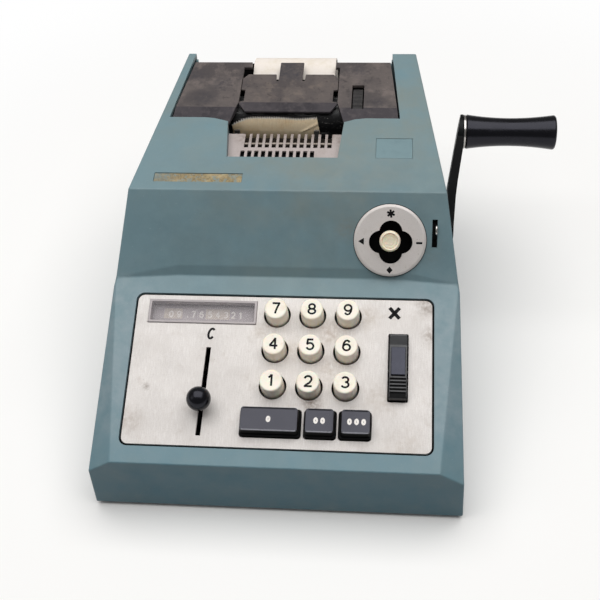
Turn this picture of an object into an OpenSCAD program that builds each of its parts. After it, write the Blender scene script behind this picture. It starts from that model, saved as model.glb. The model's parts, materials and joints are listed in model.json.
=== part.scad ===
// Hand-cranked printing adding machine, built as separate pieces.
// Millimetres, Z up, X to the right, the front skirt faces -Y.
// Origin: on the desk, at the middle of the whole outline seen from above.

/* [Casing] */
// Half width of the casing at its lower edge
base_hw = 111; // [110:0.5:114]
// Depth from the front skirt to the rear wall
body_d = 281; // [279:1:286]
// Height of the deck's front edge above the casing's lower edge
skirt_h = 42.8; // [42:0.2:46]
// Slope of the deck, degrees
deck_a = 20; // [19:0.25:21]
// Length of the deck up to the foot of the riser
deck_l = 117.8; // [117:0.2:120]
// Slope of the riser, degrees
riser_a = 51.8; // [50.8:0.2:52.6]
// Length of the riser
riser_l = 55.7; // [55:0.1:57]
// Slope of the top, degrees
top_a = 4; // [3.5:0.1:4.5]
// Wall thickness of the casing
wall = 2.4; // [2:0.1:2.6]
// Height of the rubber feet
foot_h = 3; // [2:0.5:6]

/* [Keyboard] */
// Sideways pitch of the digit keys
pitch_x = 21.6; // [21.4:0.1:22.2]
// Pitch of the digit key rows
pitch_y = 22.8; // [22:0.1:23]
// Diameter of a digit key
key_d = 14.3; // [13:0.1:14.6]
// Height of the digit key tops above the deck
digit_up = 10.4; // [9:0.2:11]
// Height of the zero key tops above the deck
key_up = 6.8; // [5:0.2:8]
// Travel of every key
key_travel = 4.5; // [3:0.5:5]
// Gap between a key and its opening
key_gap = 0.95; // [0.6:0.05:1]
// Gap round the keyboard panel
panel_gap = 1.2; // [0.6:0.1:1.6]
// Radius of the ball on the clear lever
ball_r = 7.2; // [6:0.1:8]

/* [Selector] */
// Radius of the selector ring
dial_r = 22; // [21:0.1:23]
// Radius of each lobe of the ring's opening
lobe_r = 7; // [6.6:0.1:7.2]
// Distance of each lobe from the ring's centre
lobe_o = 6.2; // [5.8:0.1:6.4]
// Radius of the selector button
button_r = 6.4; // [5.6:0.1:6.8]

/* [Printer] */
// Radius of the platen
platen_r = 14.5; // [13.5:0.1:14.8]
// Radius of the thumbwheel
thumb_r = 19.2; // [18:0.1:19.6]
// Width of the paper
paper_w = 57; // [52:1:58]
// Radius of the paper roll
roll_r = 19; // [14:0.5:19.5]
// Pitch of the printing columns
col_pitch = 4.5; // [4.2:0.05:4.6]

/* [Crank] */
// Distance from the crank's shaft to the grip's axis
crank_r = 64.5; // [62:0.5:66]
// Length of the grip
grip_l = 57.1; // [50:0.1:64]
// Radius of the grip at its ends
grip_r = 11.4; // [10.6:0.1:12]
// Radius of the grip at its waist
waist_r = 9.2; // [8.6:0.1:9.8]
// Lean of the crank arm's outer half away from the casing, degrees
arm_lean = 9; // [8:0.25:11]

/* [Hidden] */
$fn = 48;
big = 600;
fit = 0.08;
slack = 0.4;
sink = 0.3;

// Stations of the casing's side view
front_y = -body_d / 2;
rear_y = body_d / 2;
z0 = foot_h;
deck_y0 = front_y;
deck_z0 = z0 + skirt_h;
riser_y0 = deck_y0 + deck_l * cos(deck_a);
riser_z0 = deck_z0 + deck_l * sin(deck_a);
top_y0 = riser_y0 + riser_l * cos(riser_a);
top_z0 = riser_z0 + riser_l * sin(riser_a);
top_l = (rear_y - top_y0) / cos(top_a);

// Side planes: the front part is nearly upright, the rear part tapers and leans in
front_lean = 2.6;
taper_t = 0.1307;
lean_t = 0.0937;
crease_hw = base_hw - 4.5;
bevel_in = base_hw - 15.8;
bevel_drop = 9.8;
bevel_a = [bevel_in, front_y, deck_z0];
bevel_b = [base_hw - (skirt_h - bevel_drop) * tan(front_lean), front_y, deck_z0 - bevel_drop];
bevel_c = [crease_hw, riser_y0, riser_z0];

// Base and fixings
base_t = 2.5;
base_top = z0 + base_t;
base_gap = 0.6;
post_r = 6;
post_h = 24;
screw_r = 1.8;
post_y = 16;
post_in = 7.8;

// Keyboard panel
pan_x = 0.2;
pan_s = 59.3;
pan_w = 183.4;
pan_l = 97.5;
pan_r = 5;
pan_top = -0.5;
pan_flange = 1.5;
pan_low = -wall - pan_flange;
key_x = 18.45;
key_s = 72.4;
zero_s = 18.5;
zero_l = 16.5;
zero_w = [34.9, 17.9, 18];
zero_x = [-2.85, 26.15, 46.4];
zero_gap = 0.6;
stem_r = 1.5;
cap_low = -6;
guide_h = -20;
guide_t = 1.5;
comb_h = guide_h - 7.5 - key_travel - 0.8;
stem_low = comb_h + key_travel + 0.5;
comb_t = 0.8;
guide_x0 = -17.5;
guide_x1 = 59.5;
guide_s0 = 14;
guide_s1 = 107;
post_x = [-11.5, 55.5];
spacer_r = 2.5;
post_s = [42, 84, 104];
lens_x = -49.4;
lens_s = 96.2;
lens_w = 67.2;
lens_l = 15.6;
slot_lean = -1.6;
clear_x = -44.25;
clear_s = 45.6;
clear_len = 55;
clear_slot = 2.8;
clear_h = -32;
clear_arm = 43;
clear_rest = 11.5;
rock_x = 70.65;
rock_s = 63.35;
rock_w = 11.7;
rock_l = 41.3;
rock_gap = 0.8;
rock_h = -8.5;

// Pin carriage under the keyboard
car_x0 = -8;
car_w = 58;
car_s0 = 46;
car_l = 36;
car_h = comb_h - 9;
car_t = 9;
rail_r = 2.5;
rail_x0 = -85;
rail_x1 = 62;
flag_x = -21;

// Selector on the riser
sel_x = crease_hw - 42.3;
sel_s = 26.4;
cup_r = 19;
cup_d = 14;
cup_hole = 5.2;
button_h = 3.6;
gim_h = -20;
gim_r = 11;
gim_in = 7.5;
pin_r = 1.2;
tab_x = crease_hw - 15.3;
tab_s = 30.9;
tab_l = 17;
tab_w = 3.2;

// Cover opening and print window, in the top's own coordinates
cov_s0 = 67.8;
cov_s1 = 126.6;
rail_in = [-82.4, 69.0];
rail_back = [-73.0, 62.4];
cov_gap = 1;
cov_top = -0.4;
cov_t = 2;
win_s = 30;
win_f = [-40, 30.3];
win_b = [-43.1, 32.9];
win_wall = 1.6;
win_d = 8.5;
bay_x0 = -66;
bay_x1 = 58;
bay_z = top_z0 - 42;

// Mechanism, placed from the top crease
mech_x = -4.5;
frame_x = 57;
frame_t = 2;
frame_l = mech_x - frame_x;
frame_r = mech_x + frame_x;
shaft_y = top_y0 + 35;
shaft_z = top_z0 - 60;
shaft_r = 5;
plat_y = top_y0 + 90;
plat_z = top_z0 - 11.9;
axle_r = 3;
plat_x0 = -42;
plat_x1 = 35;
thumb_x = 37.6;
thumb_w = 6.6;
press_r = 6;
press_z = plat_z - platen_r - press_r - 1.5;
roll_y = top_y0 + 132.2;
roll_z = top_z0 - 14.5;
roll_x = -4.3;
spin_r = 3;
tie_r = 3;
tie_back = rear_y - top_y0;
tie_yz = [[30, -30], [30, -112], [tie_back - 35.9, -112], [tie_back - 13.9, -60]];
type_y = top_y0 + 61;
type_z = top_z0 - 68;
type_h = 46;
type_up = 12;
type_t = 2.4;
type_n = 11;
type_x0 = mech_x - 0.5 - (type_n - 1) / 2 * col_pitch - 1.6;
spool_x = [-49.5, 40.5];
spool_y = top_y0 + 58.5;
spool_z = top_z0 - 22;
spool_r = 9;
wound_r = 8;
spool_h = 12;
comb_dn = -6;
comb_l = 28.5;
strip_x0 = roll_x - paper_w / 2 - 8.5;
strip_gap = 0.6;
strip_t = 0.4;
strip_up = 9.8;
strip_y = plat_y - platen_r - strip_gap - strip_t;

// Crank at the right side
hub_x = base_hw - 9.4;
arm_t = 3.6;
hub_t = 4.2;
arm_mid = [[5.2, 20], [6.2, 30], [7.6, 40]];
arm_bend = 28;
arm_back = 48;
eye_r = 11.4;
hub_r = 9;
ring_r = 11.2;
ring_t = 1.8;
eye_out = (crank_r - arm_bend) * tan(arm_lean);
face_x = eye_out + arm_t;
grip_gap = 0.4;
grip_cap = 1.6;

// Middle of the whole outline seen from above, where the origin lies
far_x = hub_x + face_x + ring_t + grip_gap + grip_l + grip_cap;
far_y = max(rear_y, roll_y + roll_r);
mid_x = (far_x - base_hw) / 2;
mid_y = (far_y + front_y) / 2;

module settle() {
  translate([-mid_x, -mid_y, 0]) children();
}

function li(p, a, q, b) = let (t = ((q[0] - p[0]) * sin(b) - (q[1] - p[1]) * cos(b)) / sin(b - a))
  [p[0] + t * cos(a), p[1] + t * sin(a)];
function inset(p, a, g) = [p[0] + g * sin(a), p[1] - g * cos(a)];

// Side view of the casing, moved inwards by g
function profile(g, zb) = let (
  d = inset([deck_y0, deck_z0], deck_a, g),
  r = inset([riser_y0, riser_z0], riser_a, g),
  t = inset([top_y0, top_z0], top_a, g),
  f = [front_y + g, 0],
  b = [rear_y - g, 0])
  [[front_y + g, zb], li(f, 90, d, deck_a), li(d, deck_a, r, riser_a), li(r, riser_a, t, top_a),
   li(t, top_a, b, 90), [rear_y - g, zb]];

module beyond(p, n, g) {
  u = n / norm(n);
  translate(p - g * u)
    rotate([0, -asin(u[2]), atan2(u[1], u[0])])
      translate([0, -big, -big]) cube([big, 2 * big, 2 * big]);
}

module form(g, zb) {
  difference() {
    rotate([90, 0, 90]) linear_extrude(height = 3 * base_hw, center = true) polygon(profile(g, zb));
    for (m = [0, 1]) mirror([m, 0, 0]) {
      beyond([base_hw, 0, z0], [1, 0, tan(front_lean)], g);
      beyond([crease_hw, riser_y0, riser_z0], [1, taper_t, lean_t], g);
      intersection() {
        beyond(bevel_a, cross(bevel_b - bevel_a, bevel_c - bevel_a), g);
        translate([-big, -big, -big]) cube([2 * big, big + riser_y0 + g, 2 * big]);
      }
    }
  }
}

module deck_at(x, s, h) {
  translate([0, deck_y0, deck_z0]) rotate([deck_a, 0, 0]) translate([x, s, h]) children();
}

module riser_at(x, s, h) {
  translate([0, riser_y0, riser_z0]) rotate([riser_a, 0, 0]) translate([x, s, h]) children();
}

module top_at(x, s, h) {
  translate([0, top_y0, top_z0]) rotate([top_a, 0, 0]) translate([x, s, h]) children();
}

// Plate with rounded corners, centred on its own middle
module rr(w, l, r, h) {
  linear_extrude(height = h) {
    square([w - 2 * r, l], center = true);
    square([w, l - 2 * r], center = true);
    for (i = [-1, 1], j = [-1, 1]) translate([i * (w / 2 - r), j * (l / 2 - r)]) circle(r = r);
  }
}

// Rod along X between two stations
module rod(x0, x1, y, z, r) {
  translate([x0, y, z]) rotate([0, 90, 0]) cylinder(r = r, h = x1 - x0);
}

module block(w, l, h) {
  translate([-w / 2, -l / 2, 0]) cube([w, l, h]);
}

// Plates in the side view, given as a list of [y, z]
module side_plate(pts, x0, t) {
  translate([x0, 0, 0]) rotate([90, 0, 90]) linear_extrude(height = t) polygon(pts);
}

module post_spots() {
  for (m = [0, 1]) mirror([m, 0, 0]) {
    translate([base_hw - post_in, front_y + post_y, 0]) children();
    translate([crease_hw - taper_t * (rear_y - post_y - riser_y0) + lean_t * (riser_z0 - z0) - post_in,
               rear_y - post_y, 0]) children();
  }
}

foot_x = 84;
foot_y = 108;
module foot_spots() {
  for (i = [-1, 1]) {
    translate([i * foot_x, -foot_y, 0]) children();
    translate([i * (foot_x - 12), foot_y, 0]) children();
  }
}

// Cover opening, print window and the front corners between them
win_pts = [[win_f[0], win_s], [win_f[1], win_s], [win_b[1], 63.9], [39.9, 66.7], [47, cov_s0],
  [rail_in[1], cov_s0], [rail_back[1], top_l + 8], [rail_back[0], top_l + 8], [rail_in[0], cov_s0],
  [-59, cov_s0], [-52.2, 67.0], [win_b[0], 64]];

facet_x = 66.9;
facet_up = 8.7;
facet_in = 2.7;
module foot_facet() {
  a = riser_a - deck_a;
  fy = facet_up * cos(a);
  fz = facet_up * sin(a);
  p0 = [-crease_hw, 0, 0];
  p1 = [-facet_x, facet_in, 0];
  p2 = [-facet_x, fy, fz];
  deck_at(0, deck_l, 0) intersection() {
    rotate([90, 0, 90]) linear_extrude(height = 2 * base_hw, center = true)
      polygon([[-1, 0], [facet_in, 0], [fy, fz], [fy - 1, fz + 2], [-1, fz + 2]]);
    beyond(p0, cross(p1 - p0, p2 - p0), 0);
    mirror([1, 0, 0]) beyond(p0, cross(p1 - p0, p2 - p0), 0);
  }
}

module window_walls() {
  n = win_s + win_wall;
  for (i = [0, 1]) {
    d = win_b[i] - win_f[i];
    top_at(win_f[i], win_s, -win_d) rotate([0, 0, -atan(d / 34)])
      translate([i == 0 ? -win_wall : 0, -win_wall, 0]) cube([win_wall, 34, win_d - wall / 2]);
  }
  top_at(0, win_s - win_wall, -win_d) translate([win_f[0] - 1, 0, 0])
    cube([win_f[1] - win_f[0] + 2, win_wall, win_d - wall / 2]);
}

module upper_casing() {
  color([0.38, 0.5, 0.54]) difference() {
    union() {
      difference() {
        form(0, z0);
        form(wall, z0 - 1);
      }
      intersection() {
        form(wall / 2, z0);
        post_spots() translate([0, 0, base_top]) cylinder(r = post_r, h = post_h);
      }
      window_walls();
    }
    deck_at(pan_x, pan_s, -wall - 1) rr(pan_w, pan_l, pan_r, wall + 3);
    riser_at(sel_x, sel_s, -wall - 2) cylinder(r = cup_r + slack, h = wall + 6);
    riser_at(tab_x, tab_s, -wall - 2) block(tab_w, tab_l, wall + 4);
    top_at(0, 0, -wall - 1) linear_extrude(height = wall + 3) polygon(win_pts);
    top_at(-55.7, 10.7, -0.8) block(55.6, 8, 3);
    top_at(65.6, 39.2, -0.6) block(23.2, 18.6, 3);
    translate([bay_x0, rear_y - wall - 2, bay_z]) cube([bay_x1 - bay_x0, wall + 4, big]);
    rod(base_hw - 30, base_hw + 10, shaft_y, shaft_z, shaft_r + 2.5);
    post_spots() translate([0, 0, base_top - 1]) cylinder(r = screw_r + 0.05, h = 19);
    foot_facet();
  }
}

module base_plate() {
  color([0.45, 0.46, 0.47]) difference() {
    intersection() {
      form(wall + base_gap, z0);
      translate([-big, -big, z0]) cube([2 * big, 2 * big, base_t]);
    }
    post_spots() translate([0, 0, z0 - 1]) cylinder(r = screw_r + 0.3, h = base_t + 2);
    foot_spots() translate([0, 0, z0 - 1]) cylinder(r = 2.7, h = base_t + 2);
  }
}

module rubber_feet() {
  color([0.1, 0.1, 0.1]) foot_spots() {
    cylinder(r1 = 7.4, r2 = 8, h = z0);
    translate([0, 0, z0]) cylinder(r = 2.6, h = base_t + 1);
  }
}

module base_screws() {
  color([0.7, 0.7, 0.72]) post_spots() difference() {
    union() {
      translate([0, 0, z0 - 1.6]) cylinder(r = 3.6, h = 1.6);
      translate([0, 0, z0]) cylinder(r = screw_r, h = 16);
    }
    translate([-4, -0.5, z0 - 2]) cube([8, 1, 1.2]);
  }
}

module key_spot(i, j) {
  deck_at(key_x + (i - 1) * pitch_x, key_s + (j - 1) * pitch_y, 0) children();
}

module keyboard_panel() {
  color([0.82, 0.8, 0.78]) difference() {
    union() {
      deck_at(pan_x, pan_s, -wall - sink)
        rr(pan_w - 2 * panel_gap, pan_l - 2 * panel_gap, pan_r - 1, wall + pan_top + sink);
      deck_at(pan_x, pan_s, pan_low) rr(pan_w + 5, pan_l + 5, pan_r, pan_flange);
    }
    for (i = [0:2], j = [0:2]) key_spot(i, j) translate([0, 0, -9]) cylinder(r = key_d / 2 + key_gap, h = 12);
    for (k = [0:2]) deck_at(zero_x[k], zero_s + zero_l / 2, -9)
      block(zero_w[k] + 2 * zero_gap, zero_l + 2 * zero_gap, 12);
    deck_at(clear_x, clear_s, -9) rotate([0, 0, slot_lean]) block(clear_slot, clear_len, 12);
    deck_at(rock_x, rock_s, -9) block(rock_w + 2 * rock_gap, rock_l + 2 * rock_gap, 12);
    deck_at(lens_x, lens_s, -9) block(lens_w, lens_l, 12);
  }
}

module window_lens() {
  color([0.8, 0.85, 0.85, 0.5]) deck_at(lens_x, lens_s, 0) {
    translate([0, 0, pan_low - sink]) block(lens_w - 0.6, lens_l - 0.6, -pan_low - 0.2 + sink);
    translate([0, 0, pan_low - 1.2]) block(lens_w + 2, lens_l + 2.4, 1.2);
  }
}

module indicator_scale() {
  color([0.75, 0.75, 0.72]) deck_at(lens_x, lens_s, pan_low - 1.2) {
    translate([0, 0, -4]) block(lens_w + 2, lens_l - 1, 0.8);
    for (i = [-1, 1]) translate([i * lens_w / 2, 0, -4]) block(2, lens_l - 1, 4);
  }
}

module digit_key(n) {
  i = (n - 1) % 3;
  j = floor((n - 1) / 3);
  color([0.95, 0.92, 0.85]) key_spot(i, j) {
    difference() {
      translate([0, 0, cap_low]) cylinder(r = key_d / 2, h = digit_up - cap_low);
      translate([0, 0, digit_up + 29.4]) sphere(r = 30, $fn = 64);
    }
    translate([0, 0, stem_low]) cylinder(r = stem_r, h = cap_low - stem_low + 1);
  }
}

module key_1() { digit_key(1); }
module key_2() { digit_key(2); }
module key_3() { digit_key(3); }
module key_4() { digit_key(4); }
module key_5() { digit_key(5); }
module key_6() { digit_key(6); }
module key_7() { digit_key(7); }
module key_8() { digit_key(8); }
module key_9() { digit_key(9); }

zero_stems = [[-10, 10], [0], [0]];
module zero_key(k) {
  color([0.08, 0.08, 0.09]) deck_at(zero_x[k], zero_s, 0) {
    translate([-zero_w[k] / 2, 0, 0]) rotate([90, 0, 90]) linear_extrude(height = zero_w[k])
      polygon([[0, cap_low + 1], [zero_l, cap_low + 1], [zero_l, key_up - 0.4], [1.4, key_up - 0.6], [0, key_up - 2]]);
    for (dx = zero_stems[k]) translate([dx, zero_l / 2, stem_low]) cylinder(r = stem_r, h = cap_low - stem_low + 2);
  }
}

module key_0() { zero_key(0); }
module key_00() { zero_key(1); }
module key_000() { zero_key(2); }

// Every key stem's spot on the guide plates
module stem_spots() {
  for (i = [0:2], j = [0:2]) key_spot(i, j) children();
  for (k = [0:2]) for (dx = zero_stems[k]) deck_at(zero_x[k] + dx, zero_s + zero_l / 2, 0) children();
}

module post_holes(r, h0, h) {
  for (x = post_x, s = post_s) deck_at(x, s, h0) cylinder(r = r, h = h);
}

module guide_slab(h, t) {
  deck_at((guide_x0 + guide_x1) / 2, (guide_s0 + guide_s1) / 2, h)
    rr(guide_x1 - guide_x0, guide_s1 - guide_s0, 3, t);
}

module stem_guide() {
  color([0.6, 0.6, 0.62]) difference() {
    guide_slab(guide_h - guide_t, guide_t);
    stem_spots() translate([0, 0, guide_h - 4]) cylinder(r = stem_r + fit, h = 8);
  }
}

module keyboard_posts() {
  color([0.7, 0.7, 0.72]) {
    post_holes(spacer_r, guide_h, pan_low - guide_h);
    post_holes(spacer_r, comb_h, guide_h - guide_t - comb_h);
  }
}

module spring_comb() {
  color([0.5, 0.52, 0.55]) difference() {
    guide_slab(comb_h - comb_t, comb_t);
    stem_spots() translate([0, 0, comb_h - 3]) {
      translate([-3.2, -3.4, 0]) cube([6.4, 0.8, 6]);
      for (i = [-1, 1]) translate([i * 2.8 - 0.4, -3.4, 0]) cube([0.8, 12, 6]);
    }
  }
}

module pin_carriage() {
  color([0.55, 0.53, 0.48]) difference() {
    union() {
      deck_at(car_x0, car_s0, car_h - car_t) cube([car_w, car_l, car_t]);
      deck_at(flag_x, car_s0 + car_l - 3, car_h - car_t) cube([car_x0 - flag_x + 1, 3, car_t]);
      deck_at(flag_x, car_s0 + car_l - 3, car_h - car_t) cube([2, 3, car_t - car_h + pan_low - 2.4]);
      deck_at(flag_x, car_s0 + car_l - 3, pan_low - 3.4) cube([2, 12, 1]);
      for (i = [0:9], j = [0:4]) deck_at(car_x0 + 6.5 + i * 5, car_s0 + 6 + j * 6, car_h)
        cylinder(r = 0.9, h = 2, $fn = 16);
    }
    for (s = [5, car_l - 7]) deck_at(car_x0 - 1, car_s0 + s, car_h - car_t / 2) rotate([0, 90, 0])
      cylinder(r = rail_r + fit, h = car_w + 2);
  }
}

module carriage_rail() {
  color([0.62, 0.63, 0.65]) {
    for (s = [5, car_l - 7]) deck_at(rail_x0, car_s0 + s, car_h - car_t / 2) rotate([0, 90, 0])
      cylinder(r = rail_r, h = rail_x1 - rail_x0);
    difference() {
      for (x = [rail_x0 - 3, rail_x1]) deck_at(x, car_s0, car_h - car_t - 40) cube([3, car_l, 40 + car_t]);
      translate([-big, -big, base_top - big]) cube([2 * big, 2 * big, big]);
    }
  }
}

module lever_at() {
  deck_at(clear_x, clear_s, clear_h) rotate([0, 0, slot_lean]) children();
}

module clear_lever() {
  color([0.5, 0.51, 0.53]) lever_at() rotate([clear_rest, 0, 0]) difference() {
    union() {
      translate([-0.8, 0, 0]) rotate([0, 90, 0]) cylinder(r = 5, h = 1.6);
      translate([-0.8, -2.5, 0]) cube([1.6, 5, clear_arm - ball_r + 1]);
      translate([-0.8, -1.5, 0]) cube([1.6, 3, clear_arm]);
    }
    translate([-2, 0, 0]) rotate([0, 90, 0]) cylinder(r = stem_r + fit, h = 4);
  }
}

module clear_knob() {
  color([0.05, 0.05, 0.06]) lever_at() rotate([clear_rest, 0, 0]) difference() {
    translate([0, 0, clear_arm]) sphere(r = ball_r, $fn = 64);
    translate([-0.9, -2.6, clear_arm - ball_r - 1]) cube([1.8, 5.2, 2.1]);
    translate([-0.9, -1.6, clear_arm - ball_r]) cube([1.8, 3.2, ball_r + 0.1]);
  }
}

module clear_bracket() {
  lever_at() {
    for (i = [-1, 1]) translate([i * 5 - 1, -6, -5]) cube([2, 12, pan_low - clear_h + 5]);
    translate([-5, 0, 0]) rotate([0, 90, 0]) cylinder(r = stem_r, h = 10);
  }
}

module multiply_rocker() {
  color([0.07, 0.07, 0.08]) deck_at(rock_x - rock_w / 2, rock_s, 0) difference() {
    union() {
      rotate([90, 0, 90]) linear_extrude(height = rock_w) polygon([[-rock_l / 2, -4], [-rock_l / 2, 3.6],
        [-rock_l / 2 + 2, 4.6], [rock_l / 2 - 9.5, 5.2], [rock_l / 2, 1.2], [rock_l / 2, -4], [6, rock_h - 3.5],
        [-6, rock_h - 3.5]]);
      for (k = [0:4]) translate([0, -rock_l / 2 + 3 + k * 2.1, 4.5]) cube([rock_w, 1.1, 1]);
    }
    translate([-1, 0, rock_h]) rotate([0, 90, 0]) cylinder(r = stem_r + fit, h = rock_w + 2);
  }
}

module rocker_bracket() {
  deck_at(rock_x, rock_s, 0) {
    for (i = [-1, 1]) translate([i * (rock_w / 2 + 3) - 1, -5, rock_h - 4]) cube([2, 10, pan_low - rock_h + 4]);
    translate([-rock_w / 2 - 3, 0, rock_h]) rotate([0, 90, 0]) cylinder(r = stem_r, h = rock_w + 6);
  }
}

module lever_brackets() {
  color([0.6, 0.6, 0.62]) {
    clear_bracket();
    rocker_bracket();
  }
}

module selector_ring() {
  color([0.85, 0.84, 0.82]) riser_at(sel_x, sel_s, 0) difference() {
    union() {
      cylinder(r = dial_r, h = 0.8);
      translate([0, 0, 0.8]) cylinder(r1 = dial_r, r2 = dial_r - 1, h = 1);
      cylinder(r = dial_r - 1, h = 1.8);
    }
    for (k = [0:3]) rotate([0, 0, 90 * k]) translate([lobe_o, 0, -1]) cylinder(r = lobe_r, h = 4);
    translate([0, 0, -1]) cylinder(r = lobe_o, h = 4);
  }
}

module selector_cup() {
  color([0.03, 0.03, 0.03]) riser_at(sel_x, sel_s, 0) difference() {
    union() {
      translate([0, 0, -cup_d]) cylinder(r = cup_r, h = cup_d);
      for (i = [-1, 1]) translate([i * (gim_r + 3) - 1.5, -4, gim_h - 4]) cube([3, 8, -cup_d - gim_h + 4]);
    }
    translate([0, 0, 1.6 - cup_d]) cylinder(r = cup_r - 2, h = cup_d);
    translate([0, 0, -cup_d - 1]) cylinder(r = cup_hole, h = cup_d);
    for (i = [-1, 1]) translate([i * (gim_r + 3) - 2, 0, gim_h]) rotate([0, 90, 0])
      cylinder(r = pin_r + fit, h = 4);
  }
}

module selector_gimbal() {
  color([0.7, 0.7, 0.72]) riser_at(sel_x, sel_s, gim_h) difference() {
    union() {
      translate([0, 0, -2]) cylinder(r = gim_r, h = 4);
      for (i = [0, 1]) mirror([i, 0, 0]) translate([gim_in + 1, 0, 0]) rotate([0, 90, 0])
        cylinder(r = pin_r, h = gim_r - gim_in + 3.5);
    }
    translate([0, 0, -3]) cylinder(r = gim_in, h = 6);
    rotate([90, 0, 0]) translate([0, 0, -gim_r - 1]) cylinder(r = pin_r + fit, h = 2 * gim_r + 2);
  }
}

module selector_button() {
  color([0.95, 0.92, 0.85]) riser_at(sel_x, sel_s, 0) difference() {
    union() {
      translate([0, 0, button_h]) cylinder(r = button_r, h = 3.2);
      translate([0, 0, button_h]) cylinder(r = button_r - 1, h = 4.2);
      translate([0, 0, button_h + 3.2]) cylinder(r1 = button_r, r2 = button_r - 1, h = 1);
    }
    translate([0, 0, button_h - 1]) cylinder(r = 2.45, h = 2.9);
  }
}

module selector_stem() {
  color([0.6, 0.6, 0.62]) riser_at(sel_x, sel_s, 0) {
    translate([0, 0, gim_h - 3.5]) cylinder(r = 2.4, h = 5.5 - gim_h + 3.5);
    translate([0, -gim_r + 0.4, gim_h]) rotate([-90, 0, 0]) cylinder(r = pin_r, h = 2 * gim_r - 0.8);
  }
}

tab_len = 7.2;
tab_top = 2.6;
module release_tab() {
  color([0.85, 0.85, 0.87]) riser_at(tab_x, tab_s + tab_l / 2 - tab_top - tab_len, 0) {
    translate([-1, 0, -wall - 1]) cube([2, tab_len, wall + 3.6]);
    translate([-3, -2, -wall - 1.8]) cube([6, tab_len + 3, 1.4]);
  }
}

module tab_guide() {
  color([0.6, 0.6, 0.62]) riser_at(tab_x, tab_s, 0) {
    for (i = [-1, 1]) translate([i * 4.5 - 1, -tab_l / 2 - 4, -wall - 3.6]) cube([2, tab_l + 8, 3.6]);
    translate([-5.5, -tab_l / 2 - 4, -wall - 3.6]) cube([11, tab_l + 8, 1.4]);
  }
}

module name_plate() {
  color([0.71, 0.6, 0.42]) top_at(-55.7, 10.7, -0.8) block(55, 7.4, 0.6);
}

module badge_plate() {
  color([0.5, 0.6, 0.62]) top_at(65.6, 39.2, -0.6) block(22.6, 18, 0.5);
}

module comb_plate() {
  color([0.8, 0.79, 0.77]) difference() {
    top_at(0, win_s, comb_dn - 1.2) linear_extrude(height = 1.2)
      polygon([[win_f[0] + 0.1, 0], [win_f[1] - 0.1, 0],
        [win_f[1] - 0.1 + (win_b[1] - win_f[1]) * comb_l / 34, comb_l],
        [win_f[0] + 0.1 + (win_b[0] - win_f[0]) * comb_l / 34, comb_l]]);
    for (k = [0:12]) top_at(mech_x + 1.6 + (k - 6) * col_pitch, 52.5, comb_dn - 3) block(2.8, 14, 5);
    for (k = [0:10]) top_at(mech_x - 4.6 + (k - 5) * col_pitch, 39.2, comb_dn - 3) block(2.7, 6.4, 5);
  }
}

module paper_strip() {
  pr = platen_r + strip_gap;
  color([0.93, 0.9, 0.82]) {
    intersection() {
      difference() {
        rod(strip_x0, strip_x0 + paper_w, plat_y, plat_z, pr + strip_t);
        rod(roll_x - paper_w, roll_x + paper_w, plat_y, plat_z, pr);
      }
      translate([-big, plat_y - 2 * platen_r, plat_z - platen_r]) cube([2 * big, 2 * platen_r - 3, platen_r]);
    }
    translate([strip_x0, strip_y, plat_z]) cube([paper_w, strip_t, strip_up]);
  }
}

module platen() {
  color([0.06, 0.06, 0.06]) {
    rod(plat_x0, plat_x1, plat_y, plat_z, platen_r);
    rod(frame_l - 3, thumb_x + thumb_w + 1.2, plat_y, plat_z, axle_r);
    rod(thumb_x + thumb_w + 1, frame_r + frame_t + 3, plat_y, plat_z, axle_r);
  }
}

module thumbwheel() {
  n = 40;
  color([0.2, 0.2, 0.2]) difference() {
    translate([thumb_x, plat_y, plat_z]) rotate([90, 0, 90]) linear_extrude(height = thumb_w)
      polygon([for (k = [0:2 * n - 1]) (thumb_r - (k % 2) * 0.7) * [cos(180 * k / n), sin(180 * k / n)]]);
    rod(thumb_x - 1, thumb_x + thumb_w + 1, plat_y, plat_z, axle_r + 0.05);
  }
}

module pressure_rollers() {
  color([0.12, 0.12, 0.12]) {
    rod(frame_l - 2, frame_r + frame_t + 2, plat_y, press_z, 2);
    for (x = [-32, 8]) rod(x, x + 18, plat_y, press_z, press_r);
  }
}

flap_pin_s = 110.5;
flap_pin_h = -4;
flap_x = -5.4;
flap_in = 33;
flap_pin_r = 1.15;
cov_lip = 4.6;
cov_front = cov_s0 + 0.8;
cov_gate = 83.5;
cov_tab = 121;
cov_pts = [[rail_in[0] + cov_gap, cov_front], [-58.5, cov_front], [-51.8, cov_front - 0.8],
  [win_b[0] - 0.2, cov_front - 3.6], [flap_x - flap_in, cov_gate], [flap_x - flap_in, cov_tab],
  [roll_x - 29, cov_tab], [roll_x - 29, cov_s1], [rail_back[0] + cov_gap - 1.2, cov_s1]];
cov_pts_r = [[rail_in[1] - cov_gap, cov_front], [46.5, cov_front], [39.5, cov_front - 1],
  [win_b[1] + 0.2, cov_front - 3.6], [flap_x + flap_in, cov_gate], [flap_x + flap_in, cov_tab],
  [roll_x + 29, cov_tab], [roll_x + 29, cov_s1], [rail_back[1] - cov_gap + 0.6, cov_s1]];
cov_bev = 11.2;
bridge_s = 108;
bridge_h = -9.6;
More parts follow.
